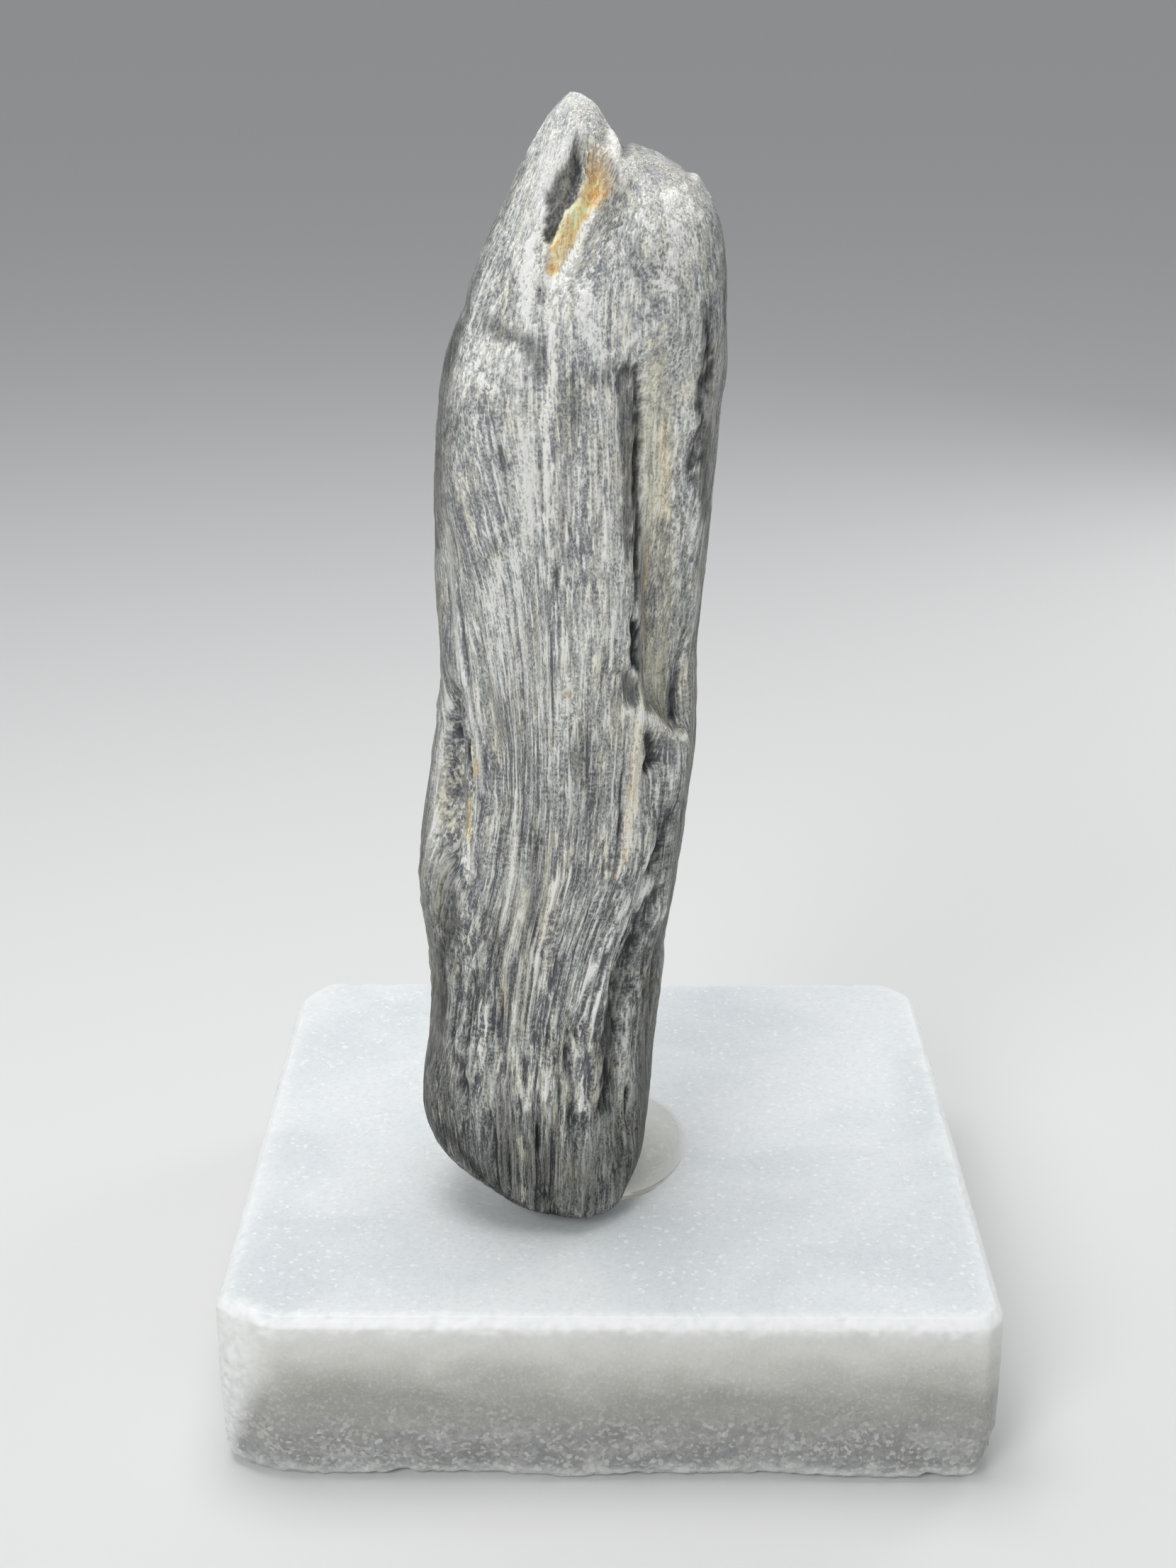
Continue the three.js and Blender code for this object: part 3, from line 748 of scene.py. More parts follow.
KNOT_MARKS = (
    # the smooth ridge that leads down into the knot, and the groove beside it
    groove(-.3, .28, 0, (-20.6, 97, .7), (-20.2, 90.6, 1), (-19.5, 85.6, 1), (-19.2, 80, .8),
        (-18.6, 77, .5), calm=.85),
    pit(.35, .45, .15, (-19.3, 91, .25), (-18.7, 84, .3), (-18.1, 79, .3), (-17.2, 75, .3),
        (-16.2, 70.6, .3), (-15.6, 66, .3)),
    groove(-.35, .2, 0, (-18.6, 78.6, .4), (-17.7, 75.6, .6), (-16.8, 71, .6), (-16.3, 67.4, .6),
        (-16.2, 63, .5), calm=.8),
    # its crumbly hollow, with pits and yellow stains
    groove(.6, -.06, .5, (-19.8, 76, .8), (-19.9, 70, 2.2), (-19.9, 64, 2.9), (-20.2, 58, 2.9),
        (-20, 53, 2.3), (-18.8, 50, .9), edge=.4, grit=1),
    groove(.2, -.2, .7, (-20.2, 76.6, .6), (-20.6, 72, 1), (-21.4, 66, .9), (-21.6, 60, .8), grit=1),
    streak(1, .22, .7, (-19.6, 74.4, .6), (-18.6, 71, 1), (-17.4, 68.4, .9), grit=1),
    streak(1, .18, .9, (-18.2, 64.4, .9), (-18.8, 60, 1.1), (-18.9, 56, 1.2), grit=1),
    band(.05, .6, (-18, 69.6, .5), (-17.2, 67.6, .7), (-16.9, 65.8, .7), ochre=.75),
    band(.05, .7, (-18.9, 61.4, .6), (-19, 59.2, .7), (-19.3, 56.2, .7), ochre=.7),
    pit(1, .95, .3, (-18.9, 68.6, .5), (-18.8, 66.8, .8), edge=.5),
    pit(.7, .9, .3, (-19.6, 65, .5), edge=.7),
    pit(.6, .9, .3, (-17.9, 63, .4), edge=.7),
    pit(.6, .85, .3, (-20.6, 68.6, .4), (-20.2, 67.4, .45), edge=.7),
    pit(.6, .85, .3, (-18.2, 58.2, .35), (-18, 57.2, .4), edge=.7),
    pit(.7, .9, .2, (-18.5, 66, .45), (-18.4, 64.8, .4), edge=.7),
    pit(.7, .85, 0, (-18.6, 62.2, .4), edge=.7),
    pit(.7, .85, 0, (-20, 71.6, .4), edge=.7),
    pit(.6, .85, .2, (-21.6, 63.6, .45), edge=.7),
    pit(.6, .85, .3, (-20.8, 60.4, .45), edge=.7),
    pit(.6, .8, .2, (-19.6, 73.2, .35), (-19.4, 72.2, .35), edge=.7),
    groove(-.3, .4, .7, (-19.8, 55.6, 1.6), (-19.3, 53.4, 1.8), (-18.6, 50.8, .9), cream=.6, grit=1),
    pit(.5, .85, 0, (-23.3, 54.4, .3), (-22.7, 53.8, .35)),
    pit(.5, .8, .2, (-23.1, 52.8, .3), (-22.9, 51.6, .35)),
    band(.15, 0, (-23.4, 62, .7), (-23.6, 56, .9), (-23.2, 51, .8), calm=.7),
)

LOW_MARKS = (
    # ridges and valleys that sweep down to the foot
    groove(-.8, .12, 1.2, (-5.4, 56, .8), (-6.6, 52, 1.4), (-7.7, 48.3, 1.5), (-8.8, 44.9, 1.3),
        (-9.6, 41, .8), cream=.6, ochre=.08),
    groove(-.6, .12, .9, (-10.5, 50.6, .6), (-11.3, 46.7, .9), (-12.6, 42.1, 1.2), (-13.6, 38, 1.2),
        (-14.2, 34, .8), cream=.35),
    groove(-.4, .14, .6, (-11.1, 47.8, .5), (-10.3, 43.2, .6), (-9.1, 38.6, .7), (-7.5, 34.1, .7),
        (-7.2, 29.6, .6), (-7.8, 25.2, .5), (-8.2, 21.8, .7), cream=.3),
    groove(-.4, .2, .4, (-12.2, 34, .4), (-12.6, 29.4, .4), (-12.8, 25.9, .4), (-11.6, 22.1, .5),
        (-10.8, 19.4, .6), cream=.4),
    groove(-.3, .35, .3, (5.3, 54.7, .3), (3.3, 50.2, .3), (1.2, 45.8, .4), (-.8, 41.7, .4),
        (-2.9, 38, .4), (-4.4, 34.1, .5), (-5.2, 30.7, .4)),
    groove(-.3, .4, .25, (6.1, 51.6, .25), (4.3, 48.5, .25), (2.5, 45.7, .3), (.7, 41.8, .3),
        (-.8, 38.2, .3), (-2.1, 34, .3), (-2.8, 29.5, .3), (-3.2, 24.9, .3), (-3.7, 19.3, .5)),
    groove(-.25, .3, .25, (6.8, 49, .25), (4.9, 46.1, .25), (2.9, 42.6, .3), (1.3, 38.9, .3),
        (-.3, 35.2, .3), (-1.2, 31, .25), (-1.8, 26.5, .25)),
    groove(-.2, .3, .25, (7.1, 45, .25), (5.4, 43, .25), (3.9, 39.9, .25), (2.3, 36.4, .25),
        (1.1, 32.2, .2)),
    groove(-.25, .35, .25, (3.8, 51.9, .25), (1.7, 47.9, .3), (-.1, 44.4, .3), (-1.9, 40.8, .3),
        (-3.4, 36.9, .25)),
    streak(.4, .15, .8, (-2.4, 41.6, .8), (-3.4, 38.2, .9), (-4.8, 33.8, .8)),
    groove(1, -.48, .8, (6.2, 48, 1), (4.2, 44.6, 1.6), (2.8, 40.3, 2), (1.5, 35.9, 2.2), (.6, 32, 2.2),
        (.4, 27, 1.8), (-.4, 19, 1.6), calm=.25),
    groove(.3, -.3, .7, (7.8, 59.2, .9), (6.6, 53.9, 1), (5.6, 50.6, 1.1)),
    groove(.4, -.3, .5, (-5.5, 30.7, .5), (-5.5, 26.3, .6), (-5, 22.3, .8), (-4.8, 17.1, 1)),
    # broad bands in this group: a paler middle, and painted shade on both flanks and the foot
    band(.12, 1, (-8, 52, 4), (-9.6, 42, 4), (-9.4, 32, 4), (-9.4, 24, 3)),
    band(-.15, 1, (-12, 12, 6), (-4, 10, 6), (-6, 4, 6)),
    band(-.12, .6, (6.4, 40, 1), (5, 30, 1.3), (4, 18, 1.2)),
    groove(.6, -.35, .7, (-17.4, 37.9, 1), (-18.6, 31.7, 1.2), (-19.5, 25.9, 1.2), (-19.3, 20.4, 1.2)),
    band(-.3, .9, (-19.9, 46.5, 1.4), (-21.8, 39.7, 1.7), (-22.5, 33.3, 1.5), (-22.9, 27.5, 1.3), calm=.3),
    band(-.15, .6, (-24.4, 24, 1), (-24, 14, 1), (-22, 7, 1.2)),
    groove(-.2, .25, .2, (-14.1, 26.9, .4), (-15, 22.2, .3), (-15.8, 18.7, .3)),
    groove(-.2, .3, .2, (-17.2, 33.2, .3), (-16.8, 28.7, .35), (-17.1, 24.2, .3), (-17.7, 19.6, .3)),
    band(-.25, 1.2, (-21, 48, 3), (-22.4, 38, 3.6), (-22.6, 26, 3.6), (-21.6, 14, 3.4), calm=.25),
    band(-.22, .8, (5.4, 42, 2.4), (4.8, 30, 3.2), (4, 18, 3.2), (2, 8, 3)),
    # pale streaks that end on the way down, some beside a dark slit
    groove(-.25, .4, .15, (-11.8, 64, .3), (-12, 58, .4), (-12.6, 52, .5), (-14, 46, .5),
        (-14.8, 41.8, .35), cream=.9),
    pit(.5, .5, .3, (-13.4, 50, .3), (-14.3, 45, .4), (-14.6, 40, .45), (-14.4, 36.4, .6)),
    groove(-.2, .35, .2, (-15.8, 33.6, .4), (-16.8, 24.6, .4), (-17.4, 18, .3), cream=.5),
    streak(.6, 0, .5, (-13.6, 36.6, .9), (-13.4, 33, .9), ochre=.15),
    groove(-.2, .25, .3, (-12.4, 28, .5), (-11.8, 24, .4), (-11.2, 20.4, .7), cream=.6),
    groove(-.2, .3, .3, (-9.4, 27, .4), (-10.6, 21.4, .5), (-10.8, 19.8, .8), cream=.6),
    streak(.6, .3, .3, (-8, 24.6, .4), (-8.6, 21.6, .7)),
    groove(-.2, .4, .2, (-3.8, 25, .4), (-3.8, 19.4, .6), cream=.9, edge=.6),
    streak(.5, .2, .4, (-6, 20, .5), (-6.4, 14, .7), (-6.8, 8, .6)),
    groove(-.2, .4, .3, (-11.8, 15, .6), (-11.4, 9, .5), (-11.6, 4.4, .45), cream=.8),
    streak(.7, .3, .3, (-24.2, 21, .3), (-23.4, 18, .5), (-22.9, 12.4, .5), (-22, 9, .3)),
    pit(.5, .6, .2, (-5.8, 33.6, .3), (-4.4, 29.6, .35)),
    streak(.35, 0, .3, (1.6, 56, .6), (-.4, 46, .4)),
    # broad tones: painted shade in a hollow left of the ridge, in a valley and on the slate flanks; a few
    # paler zones
    band(-.3, .8, (-9.4, 57, 1.6), (-9.1, 52.1, 2.4), (-10.1, 46.1, 2.2), (-10.8, 42.1, 1.4)),
    streak(.2, .2, .6, (-5.2, 43.6, .9), (-5.2, 37.4, 1.2)),
    band(-.28, .8, (.2, 35.4, 1.4), (-.3, 29.3, 2.4), (-.9, 23.2, 2.6), (-.8, 17.9, 2)),
    band(-.17, 1.2, (-14.6, 47, 2.4), (-14.2, 35.7, 3.2), (-14.2, 25.3, 3.4), (-13.9, 15.1, 3.4),
        (-14.1, 3.9, 3)),
    band(-.2, .8, (7.5, 88.1, 1.4), (7.8, 79.2, 1.8), (7.5, 69.9, 1.8), (7.4, 63.7, 1.8), (7.3, 57.3, 2),
        (6.9, 49.5, 1.8)),
    band(-.14, 1, (-21.9, 52, 2.4), (-22, 43.8, 3), (-21.3, 36.7, 2.6)),
    band(.12, 1.2, (-4.4, 138.1, 3), (-2.9, 132.4, 4.4), (-2.4, 125.6, 4.4), (-2.8, 118.2, 3)),
    band(.12, 1.2, (-8.1, 74.1, 2.6), (-7.6, 69.4, 3.4), (-7.8, 64.7, 2.6)),
    # spots and slits
    mark((-.6, 20, 1.4), (.2, 25.6, 1.2), dark=.35, ragged=.8),
    pit(.4, .8, .2, (3, 34.8, .4)),
    pit(.5, .8, 0, (-21, 28.4, .3), (-20.9, 24.4, .35)),
    pit(.6, .85, .2, (2.4, 20, .3), (2.2, 15, .35)),
    pit(.6, .7, 0, (1.8, 12, .3), (1.5, 8.4, .25)),
    pit(.9, .95, 0, (-9.5, 17, .3), (-9.5, 13.2, .4)),
    pit(.3, .6, 0, (-22.9, 16, .2), (-22.6, 9, .3)),
    # the worn foot: smooth slate, a thumb-shaped recess and a nick below it, all darkened with painted
    # shade
    band(-.35, .8, (-22.2, 13.6, 1.8), (-20, 11, 1.9), (-17, 8, 2), (-14.4, 5, 1.8), calm=.4),
    pit(.5, .6, 0, (-9.8, 7.2, .3), (-8.6, 8.2, .35), (-7.2, 7.4, .3)),
    pit(.5, .2, 0, (-8.4, 5.6, 1.6), shade=-.3, calm=.7),
    pit(.7, .9, .3, (-8.4, 2.4, .8), (-6.8, 1.9, .7)),
)

# the sides that face away: long grooves, pits and stains like those of the front
HIDDEN_MARKS = on_side(
    Side.BACK,
    pit(.8, .55, .3, (4, 128, .4), (3, 104, .7), (4.4, 84, .3)),
    pit(.6, .45, .3, (-5, 118, .3), (-6.4, 96, .6), (-6, 74, .3)),
    streak(.5, 0, .9, (7.5, 122, 1.2), (9, 112, 1.8), (8.2, 102, .9), grit=.6),
    mark((13, 92, 1), (13.4, 84, 2.2), (14, 75, 1.2), cut=.7, grit=.9, ragged=.6),
    pit(.8, .85, .3, (13, 86, .5), (13.6, 82, .6)),
    mark((12, 90, .4), (12.4, 80, .6), ochre=.55, ragged=.5),
    streak(.5, 0, .4, (-1, 66, .6), (.6, 52, .9), (2, 38, .4), ochre=.15),
    pit(.6, .6, .3, (6, 40, .3), (7, 24, .5)),
    pit(.5, .35, .6, (-4, 44, 1), (-3, 38, 1.4), (-3.4, 32, .8), grit=.7),
    streak(.5, 0, .4, (-10.5, 134, .5), (-10, 126, .7)),
) + on_side(
    Side.RIGHT,
    pit(.7, .6, .3, (-19, 112, .3), (-18, 96, .6), (-19.4, 84, .3)),
    pit(.6, .5, .4, (-9, 120, .4), (-8.4, 108, .8), (-9.4, 98, .4)),
    streak(.5, 0, .5, (-13, 92, .6), (-12, 84, .9), (-13, 76, .5), ochre=.2),
    pit(.7, .7, .5, (-15, 64, .5), (-14, 60, .9)),
    pit(.6, .5, .3, (-8, 56, .3), (-9.4, 36, .6), (-9, 22, .3)),
    streak(.5, 0, .3, (-18, 40, .4), (-19, 30, .5)),
) + on_side(
    Side.LEFT,
    pit(.7, .5, .3, (10, 118, .4), (8.6, 100, .7), (7.4, 84, .3)),
    streak(.45, 0, .8, (19, 108, 1), (17, 100, 1.5), (16.4, 92, .8), grit=.5),
    pit(.5, .25, .7, (14, 70, 1), (12.6, 62, 1.6), (13.4, 54, .9), grit=.9),
    pit(.6, .55, .3, (8, 48, .3), (7, 30, .6), (8.4, 16, .3)),
    streak(.5, 0, .4, (20, 40, .5), (19.4, 28, .6)),
)

# How the real grain bends, as it is seen from the front: for each guiding fibre the place where
# it would stand if it were straight, and its places across at the guide heights.
GUIDE_HEIGHTS = (4, 20, 32, 42, 52, 62, 70, 80, 90, 100, 112, 122, 131, 141, 148)
GUIDE_DEPTHS = (-16, -17, -18, -18, -18, -18, -18, -18, -18, -17, -16, -15, -15, -15, -15)
GUIDE_FIBRES = {
    -20: (-18.5, -20.8, -20, -18, -15.2, -13.9, -14.2, -15.4, -17.4, -20.4, -24.4, -23.5, -19, -15, -12),
    -13: (-14, -14.8, -14.2, -13.2, -11.4, -10.4, -10.3, -10.6, -11.4, -12.9, -15.8, -15.6, -13, -10.2, -8),
    -7: (-11, -11.2, -11, -9.8, -7.6, -7, -7, -7, -7.1, -7.2, -7.4, -7.6, -8, -6.2, -4.6),
    -1: (-8.6, -8.4, -7.6, -5.6, -2.6, -1.1, -.8, -.5, -.4, -.6, -.9, -1, -.6, 0, .4),
    3.5: (-6.6, -5.8, -4.8, -2.4, 1.6, 2.6, 3.3, 3.8, 3.3, 3.3, 3.2, 3.1, 3.4, 3.8, 4),
    8: (-2.2, -1.4, .4, 3.6, 6.6, 7.2, 7.4, 7.2, 7.6, 8.2, 9, 9.4, 9.2, 8.4, 8),
    13: (4.4, 5.4, 7, 9.8, 12, 12.4, 12.6, 12.6, 12.8, 13.4, 14, 14.4, 14.2, 13.4, 13),
}


@dataclass
class PetrifiedWood:
    """The wood, one stone from tip to foot."""

    columns: int = 350
    rows: int = 280
    front_crowding: float = 0.30                 # how much closer the columns stand at the front
    heart_low: Triple = (-9.5, -18.0, 17.0)      # the line inside the wood that its rings stand round
    heart_high: Triple = (-4.0, -16.8, 128.0)
    foot_arc: float = 26.0                       # way from the heart's low end round to the last ring
    head_arc: float = 44.0
    left_trim: float = 0.55                      # how far its left side stays inside the solid
    foot_pole: Triple = (0.0, 0.45, -0.89)       # where the rings close: under the foot, behind its tip
    head_pole: Triple = (0.1, 0.80, 0.59)        # and at the back of the head
    flute_depth: float = 0.30                    # its natural relief, where it is least
    rope_depth: float = 0.20
    fibre_depth: float = 0.09
    lump_depth: float = 0.12
    pit_depth: float = 0.5
    finish: WoodFinish = field(default_factory=WoodFinish)
    marks: tuple[Mark, ...] = HEAD_MARKS + FRONT_MARKS + KNOT_MARKS + LOW_MARKS + HIDDEN_MARKS

    def __post_init__(self) -> None:
        """Stands the heart on the block's top, which heights count from."""
        self.base = block_top()
        self.low = np.array(self.heart_low) + [0, 0, self.base]
        self.high = np.array(self.heart_high) + [0, 0, self.base]

    def rays(self) -> tuple[Array, Array]:
        """The rays that find the wood's skin.

        Returns:
            Where they start and where they point, for each row and column. They are level along
            the body, and past the heart's ends they swing round to the two poles.
        """
        body = float(np.linalg.norm(self.high - self.low))
        length = self.foot_arc + body + self.head_arc
        way = np.linspace(0, 1, self.rows + 2)[1:-1] * length - self.foot_arc
        share = np.clip(way / body, 0, 1)[:, None]
        origins = self.low + share * (self.high - self.low)
        turn = np.arange(self.columns) / self.columns * 2 * math.pi - math.pi
        level = level_ways(turn - self.front_crowding * np.sin(turn))[None, :, :]
        directions = np.repeat(level, self.rows, axis=0)
        ends = ((self.foot_pole, -way / self.foot_arc), (self.head_pole, (way - body) / self.head_arc))
        for pole, swing in ends:
            pole_way = np.array(pole) / np.linalg.norm(pole)
            swing = np.clip(swing, 0, 1)[:, None, None]
            angle = np.arccos(np.clip(level @ pole_way, -1, 1))[..., None]
            swung = np.sin((1 - swing) * angle) * level + np.sin(swing * angle) * pole_way
            directions = np.where(swing > 0, swung / np.sin(angle), directions)
        return np.broadcast_to(origins[:, None, :], directions.shape).copy(), directions

    def pole(self, surface: BVHTree, start: Array, way: Triple) -> Array:
        """The point that closes the rings at one end."""
        return cast_out(surface, start[None, :], np.array([way]) / np.linalg.norm(way))[0]

    def skin_normals(self, skin: Array) -> Array:
        """The directions that the skin faces, from its points by row and column."""
        across = np.roll(skin, -1, axis=1) - np.roll(skin, 1, axis=1)
        facing = np.cross(across, np.gradient(skin, axis=0))
        return facing / np.linalg.norm(facing, axis=-1, keepdims=True)

    def grain(self, skin: Array) -> Array:
        """Places counted along and across the fibres, which run through the whole stone.

        Args:
            skin: points by row and column.

        Returns:
            For each point, two numbers that stay the same along a fibre and, third, the height.
        """
        height = skin[..., 2] - self.base
        across = skin[..., 0]
        rests = list(GUIDE_FIBRES)
        guides = [np.interp(height, GUIDE_HEIGHTS, places) for places in GUIDE_FIBRES.values()]
        rest = across - guides[0] + rests[0]
        for i in range(len(rests) - 1):
            share = np.clip((across - guides[i]) / (guides[i + 1] - guides[i]), 0, 1)
            between = rests[i] + share * (rests[i + 1] - rests[i])
            rest = np.where(across > guides[i], between, rest)
        rest = np.where(across > guides[-1], across - guides[-1] + rests[-1], rest)
        depth = skin[..., 1] - np.interp(height, GUIDE_HEIGHTS, GUIDE_DEPTHS)
        return np.stack([rest, depth, height], axis=-1)

    def even_out(self, relief: Array, passes: int) -> Array:
        """Softens a value between neighbouring points.

        Args:
            relief: one value for each row and column.
            passes: how often it is softened.

        Returns:
            The softer values.
        """
        for _ in range(passes):
            relief = (np.roll(relief, 1, axis=1) + 2 * relief + np.roll(relief, -1, axis=1)) / 4
            padded = np.concatenate([relief[:1], relief, relief[-1:]])
            relief = (padded[:-2] + 2 * relief + padded[2:]) / 4
        return relief

    def draw_marks(self, points: Array, normals: Array, height: Array) -> tuple[Array, ...]:
        """What the marks do to the skin.

        Args:
            points: the skin's points.
            normals: the directions that it faces there.
            height: the points' heights.

        Returns:
            The relief that they give each point, its stains and painted pit shade (ochre, cream,
            dark and grit), how calm it is, and its shade.
        """
        relief, calm, shade = np.zeros((3, height.size))
        stains_and_pit_shade = np.zeros((height.size, 4))
        wander = noise_at(points, (0.9, 0.9, 1.3), 7.3) + 0.6 * noise_at(points, (0.4, 0.4, 0.5), 3.1)
        for mark in self.marks:
            way, right = (np.array(v) for v in mark.side.value)
            seen = np.ones(height.size) if mark.through else smooth_step(-0.1, 0.15, normals @ way)
            near = seen > 0
            cover = np.zeros(height.size)
            cover[near] = seen[near] * mark.cover((points @ right)[near], height[near], wander[near])
            relief -= mark.cut * cover
            wanted = np.array([mark.ochre, mark.cream, mark.dark, mark.grit])
            stains_and_pit_shade = np.maximum(stains_and_pit_shade, cover[:, None] * wanted)
            calm = np.maximum(calm, cover * mark.calm)
            shade += cover * mark.shade
        return relief, stains_and_pit_shade, calm, shade

    def build(self) -> Piece:
        """Makes and dresses the wood.

        Returns:
            The wood's object.
        """
        surface = node_surface(Node.WOOD, 2)
        origins, directions = self.rays()
        skin = cast_out(surface, origins, directions)
        grid = skin.shape[:2]
        points, normals = skin.reshape(-1, 3), self.skin_normals(skin).reshape(-1, 3)
        fibre_places = self.grain(skin).reshape(-1, 3)
        height = fibre_places[:, 2]
        relief, stains_and_pit_shade, calm, shade = self.draw_marks(points, normals, height)

        flutes = noise_at(fibre_places, (2.4, 2.4, 34.0), 1.7)
        ropes = 1 - 2 * np.abs(noise_at(fibre_places, (1.2, 1.2, 22.0), 5.9))
        fibres = noise_at(fibre_places, (0.55, 0.55, 4.0), 9.1)
        lumps = noise_at(points, (5.0, 5.0, 9.0), 2.2)
        knobs = noise_at(points, (1.9, 1.9, 2.6), 6.6)
        crumbs = noise_at(points, (0.8, 0.8, 0.9), 4.4)
        away = smooth_step(0.25, -0.4, -normals[:, 1])
        pits = smooth_step(0.40, 0.66, noise_at(fibre_places, (1.1, 1.1, 6.5), 8.8)) * (0.15 + 0.75 * away)
        pits *= 0.1 + 0.9 * smooth_step(0.0, 0.45, noise_at(points, (7.0, 7.0, 15.0), 15.3))
        lower = smooth_step(70.0, 30.0, height)
        steady = smooth_step(3.0, 22.0, height)
        granular = np.maximum(stains_and_pit_shade[:, 3], 0.25 * smooth_step(88.0, 118.0, height))
        stains_and_pit_shade[:, 3] = granular
        # painted shade in the random pits
        stains_and_pit_shade[:, 2] = np.maximum(stains_and_pit_shade[:, 2], 0.7 * pits)
        end_grain = smooth_step(0.35, 0.8, np.abs(normals[:, 2]))
        corner = smooth_step(0.35, 0.75, np.abs(normals[:, 0])) * smooth_step(34.0, 20.0, height)
        lined = (1 - calm) * (1 - 0.7 * granular) * (1 - 0.8 * end_grain) * (1 - 0.85 * corner)

        relief = self.even_out(relief.reshape(grid), 2).ravel()
        relief -= self.left_trim * smooth_step(0.1, 0.9, -normals[:, 0])
        flutes *= self.flute_depth + 0.25 * lower
        ropes *= self.rope_depth + 0.30 * lower
        relief += lined * (flutes + ropes + self.fibre_depth * fibres)
        lumps *= self.lump_depth + 0.14 * steady
        relief += lumps + (0.06 * steady + 0.20 * granular) * knobs - self.pit_depth * pits
        relief += (1 - 0.8 * calm) * (0.05 * steady + 0.13 * granular) * crumbs
        high = relief.reshape(grid)

        # painted shade: darker on the sides turned away from the front and toward the foot; the turned
        # sides are also calmer
        turned_away_shade = smooth_step(0.80, 0.15, -normals[:, 1]) * smooth_step(142.0, 128.0, height)
        turned_away_shade *= 1 - 0.45 * smooth_step(0.0, 0.6, normals[:, 1])
        shade -= 0.30 * turned_away_shade * (1 - 0.8 * granular) + 0.32 * smooth_step(26.0, 8.0, height)
        calm = np.maximum(calm, np.maximum(0.7 * turned_away_shade * (1 - granular), 0.8 * end_grain))
        # paler on the relief's crests, partly as worn edges, and darker in its hollows as painted shade
        crest = 0.5 + (0.8 + 0.3 * lower) * (high - self.even_out(high, 14)).ravel()
        rib_patches = smooth_step(0.0, 0.35, noise_at(points, (4.0, 20.0, 9.0), 12.5))
        ribbed = smooth_step(14, 30, height) * smooth_step(84, 66, height) * (1 - calm) * rib_patches

        low_end = self.pole(surface, self.low, self.foot_pole)
        high_end = self.pole(surface, self.high, self.head_pole)
        piece = ring_piece("wood", skin + high[..., None] * directions, low_end, high_end)
        values = {
            "grain": ("FLOAT_VECTOR", fibre_places),
            "stains_and_pit_shade": ("FLOAT_COLOR", stains_and_pit_shade),
            "shade": ("FLOAT", np.clip(shade, -0.8, 0.5)),
            "surface": ("FLOAT_VECTOR", np.stack([crest, calm, ribbed], axis=-1)),
        }
        for name, (kind, rows) in values.items():
            # the two end points get their neighbours' values
            add_attribute(piece, name, kind, np.concatenate([rows, rows[:1], rows[-1:]]))
        dress(piece, Node.WOOD, self.finish.material())
        return piece


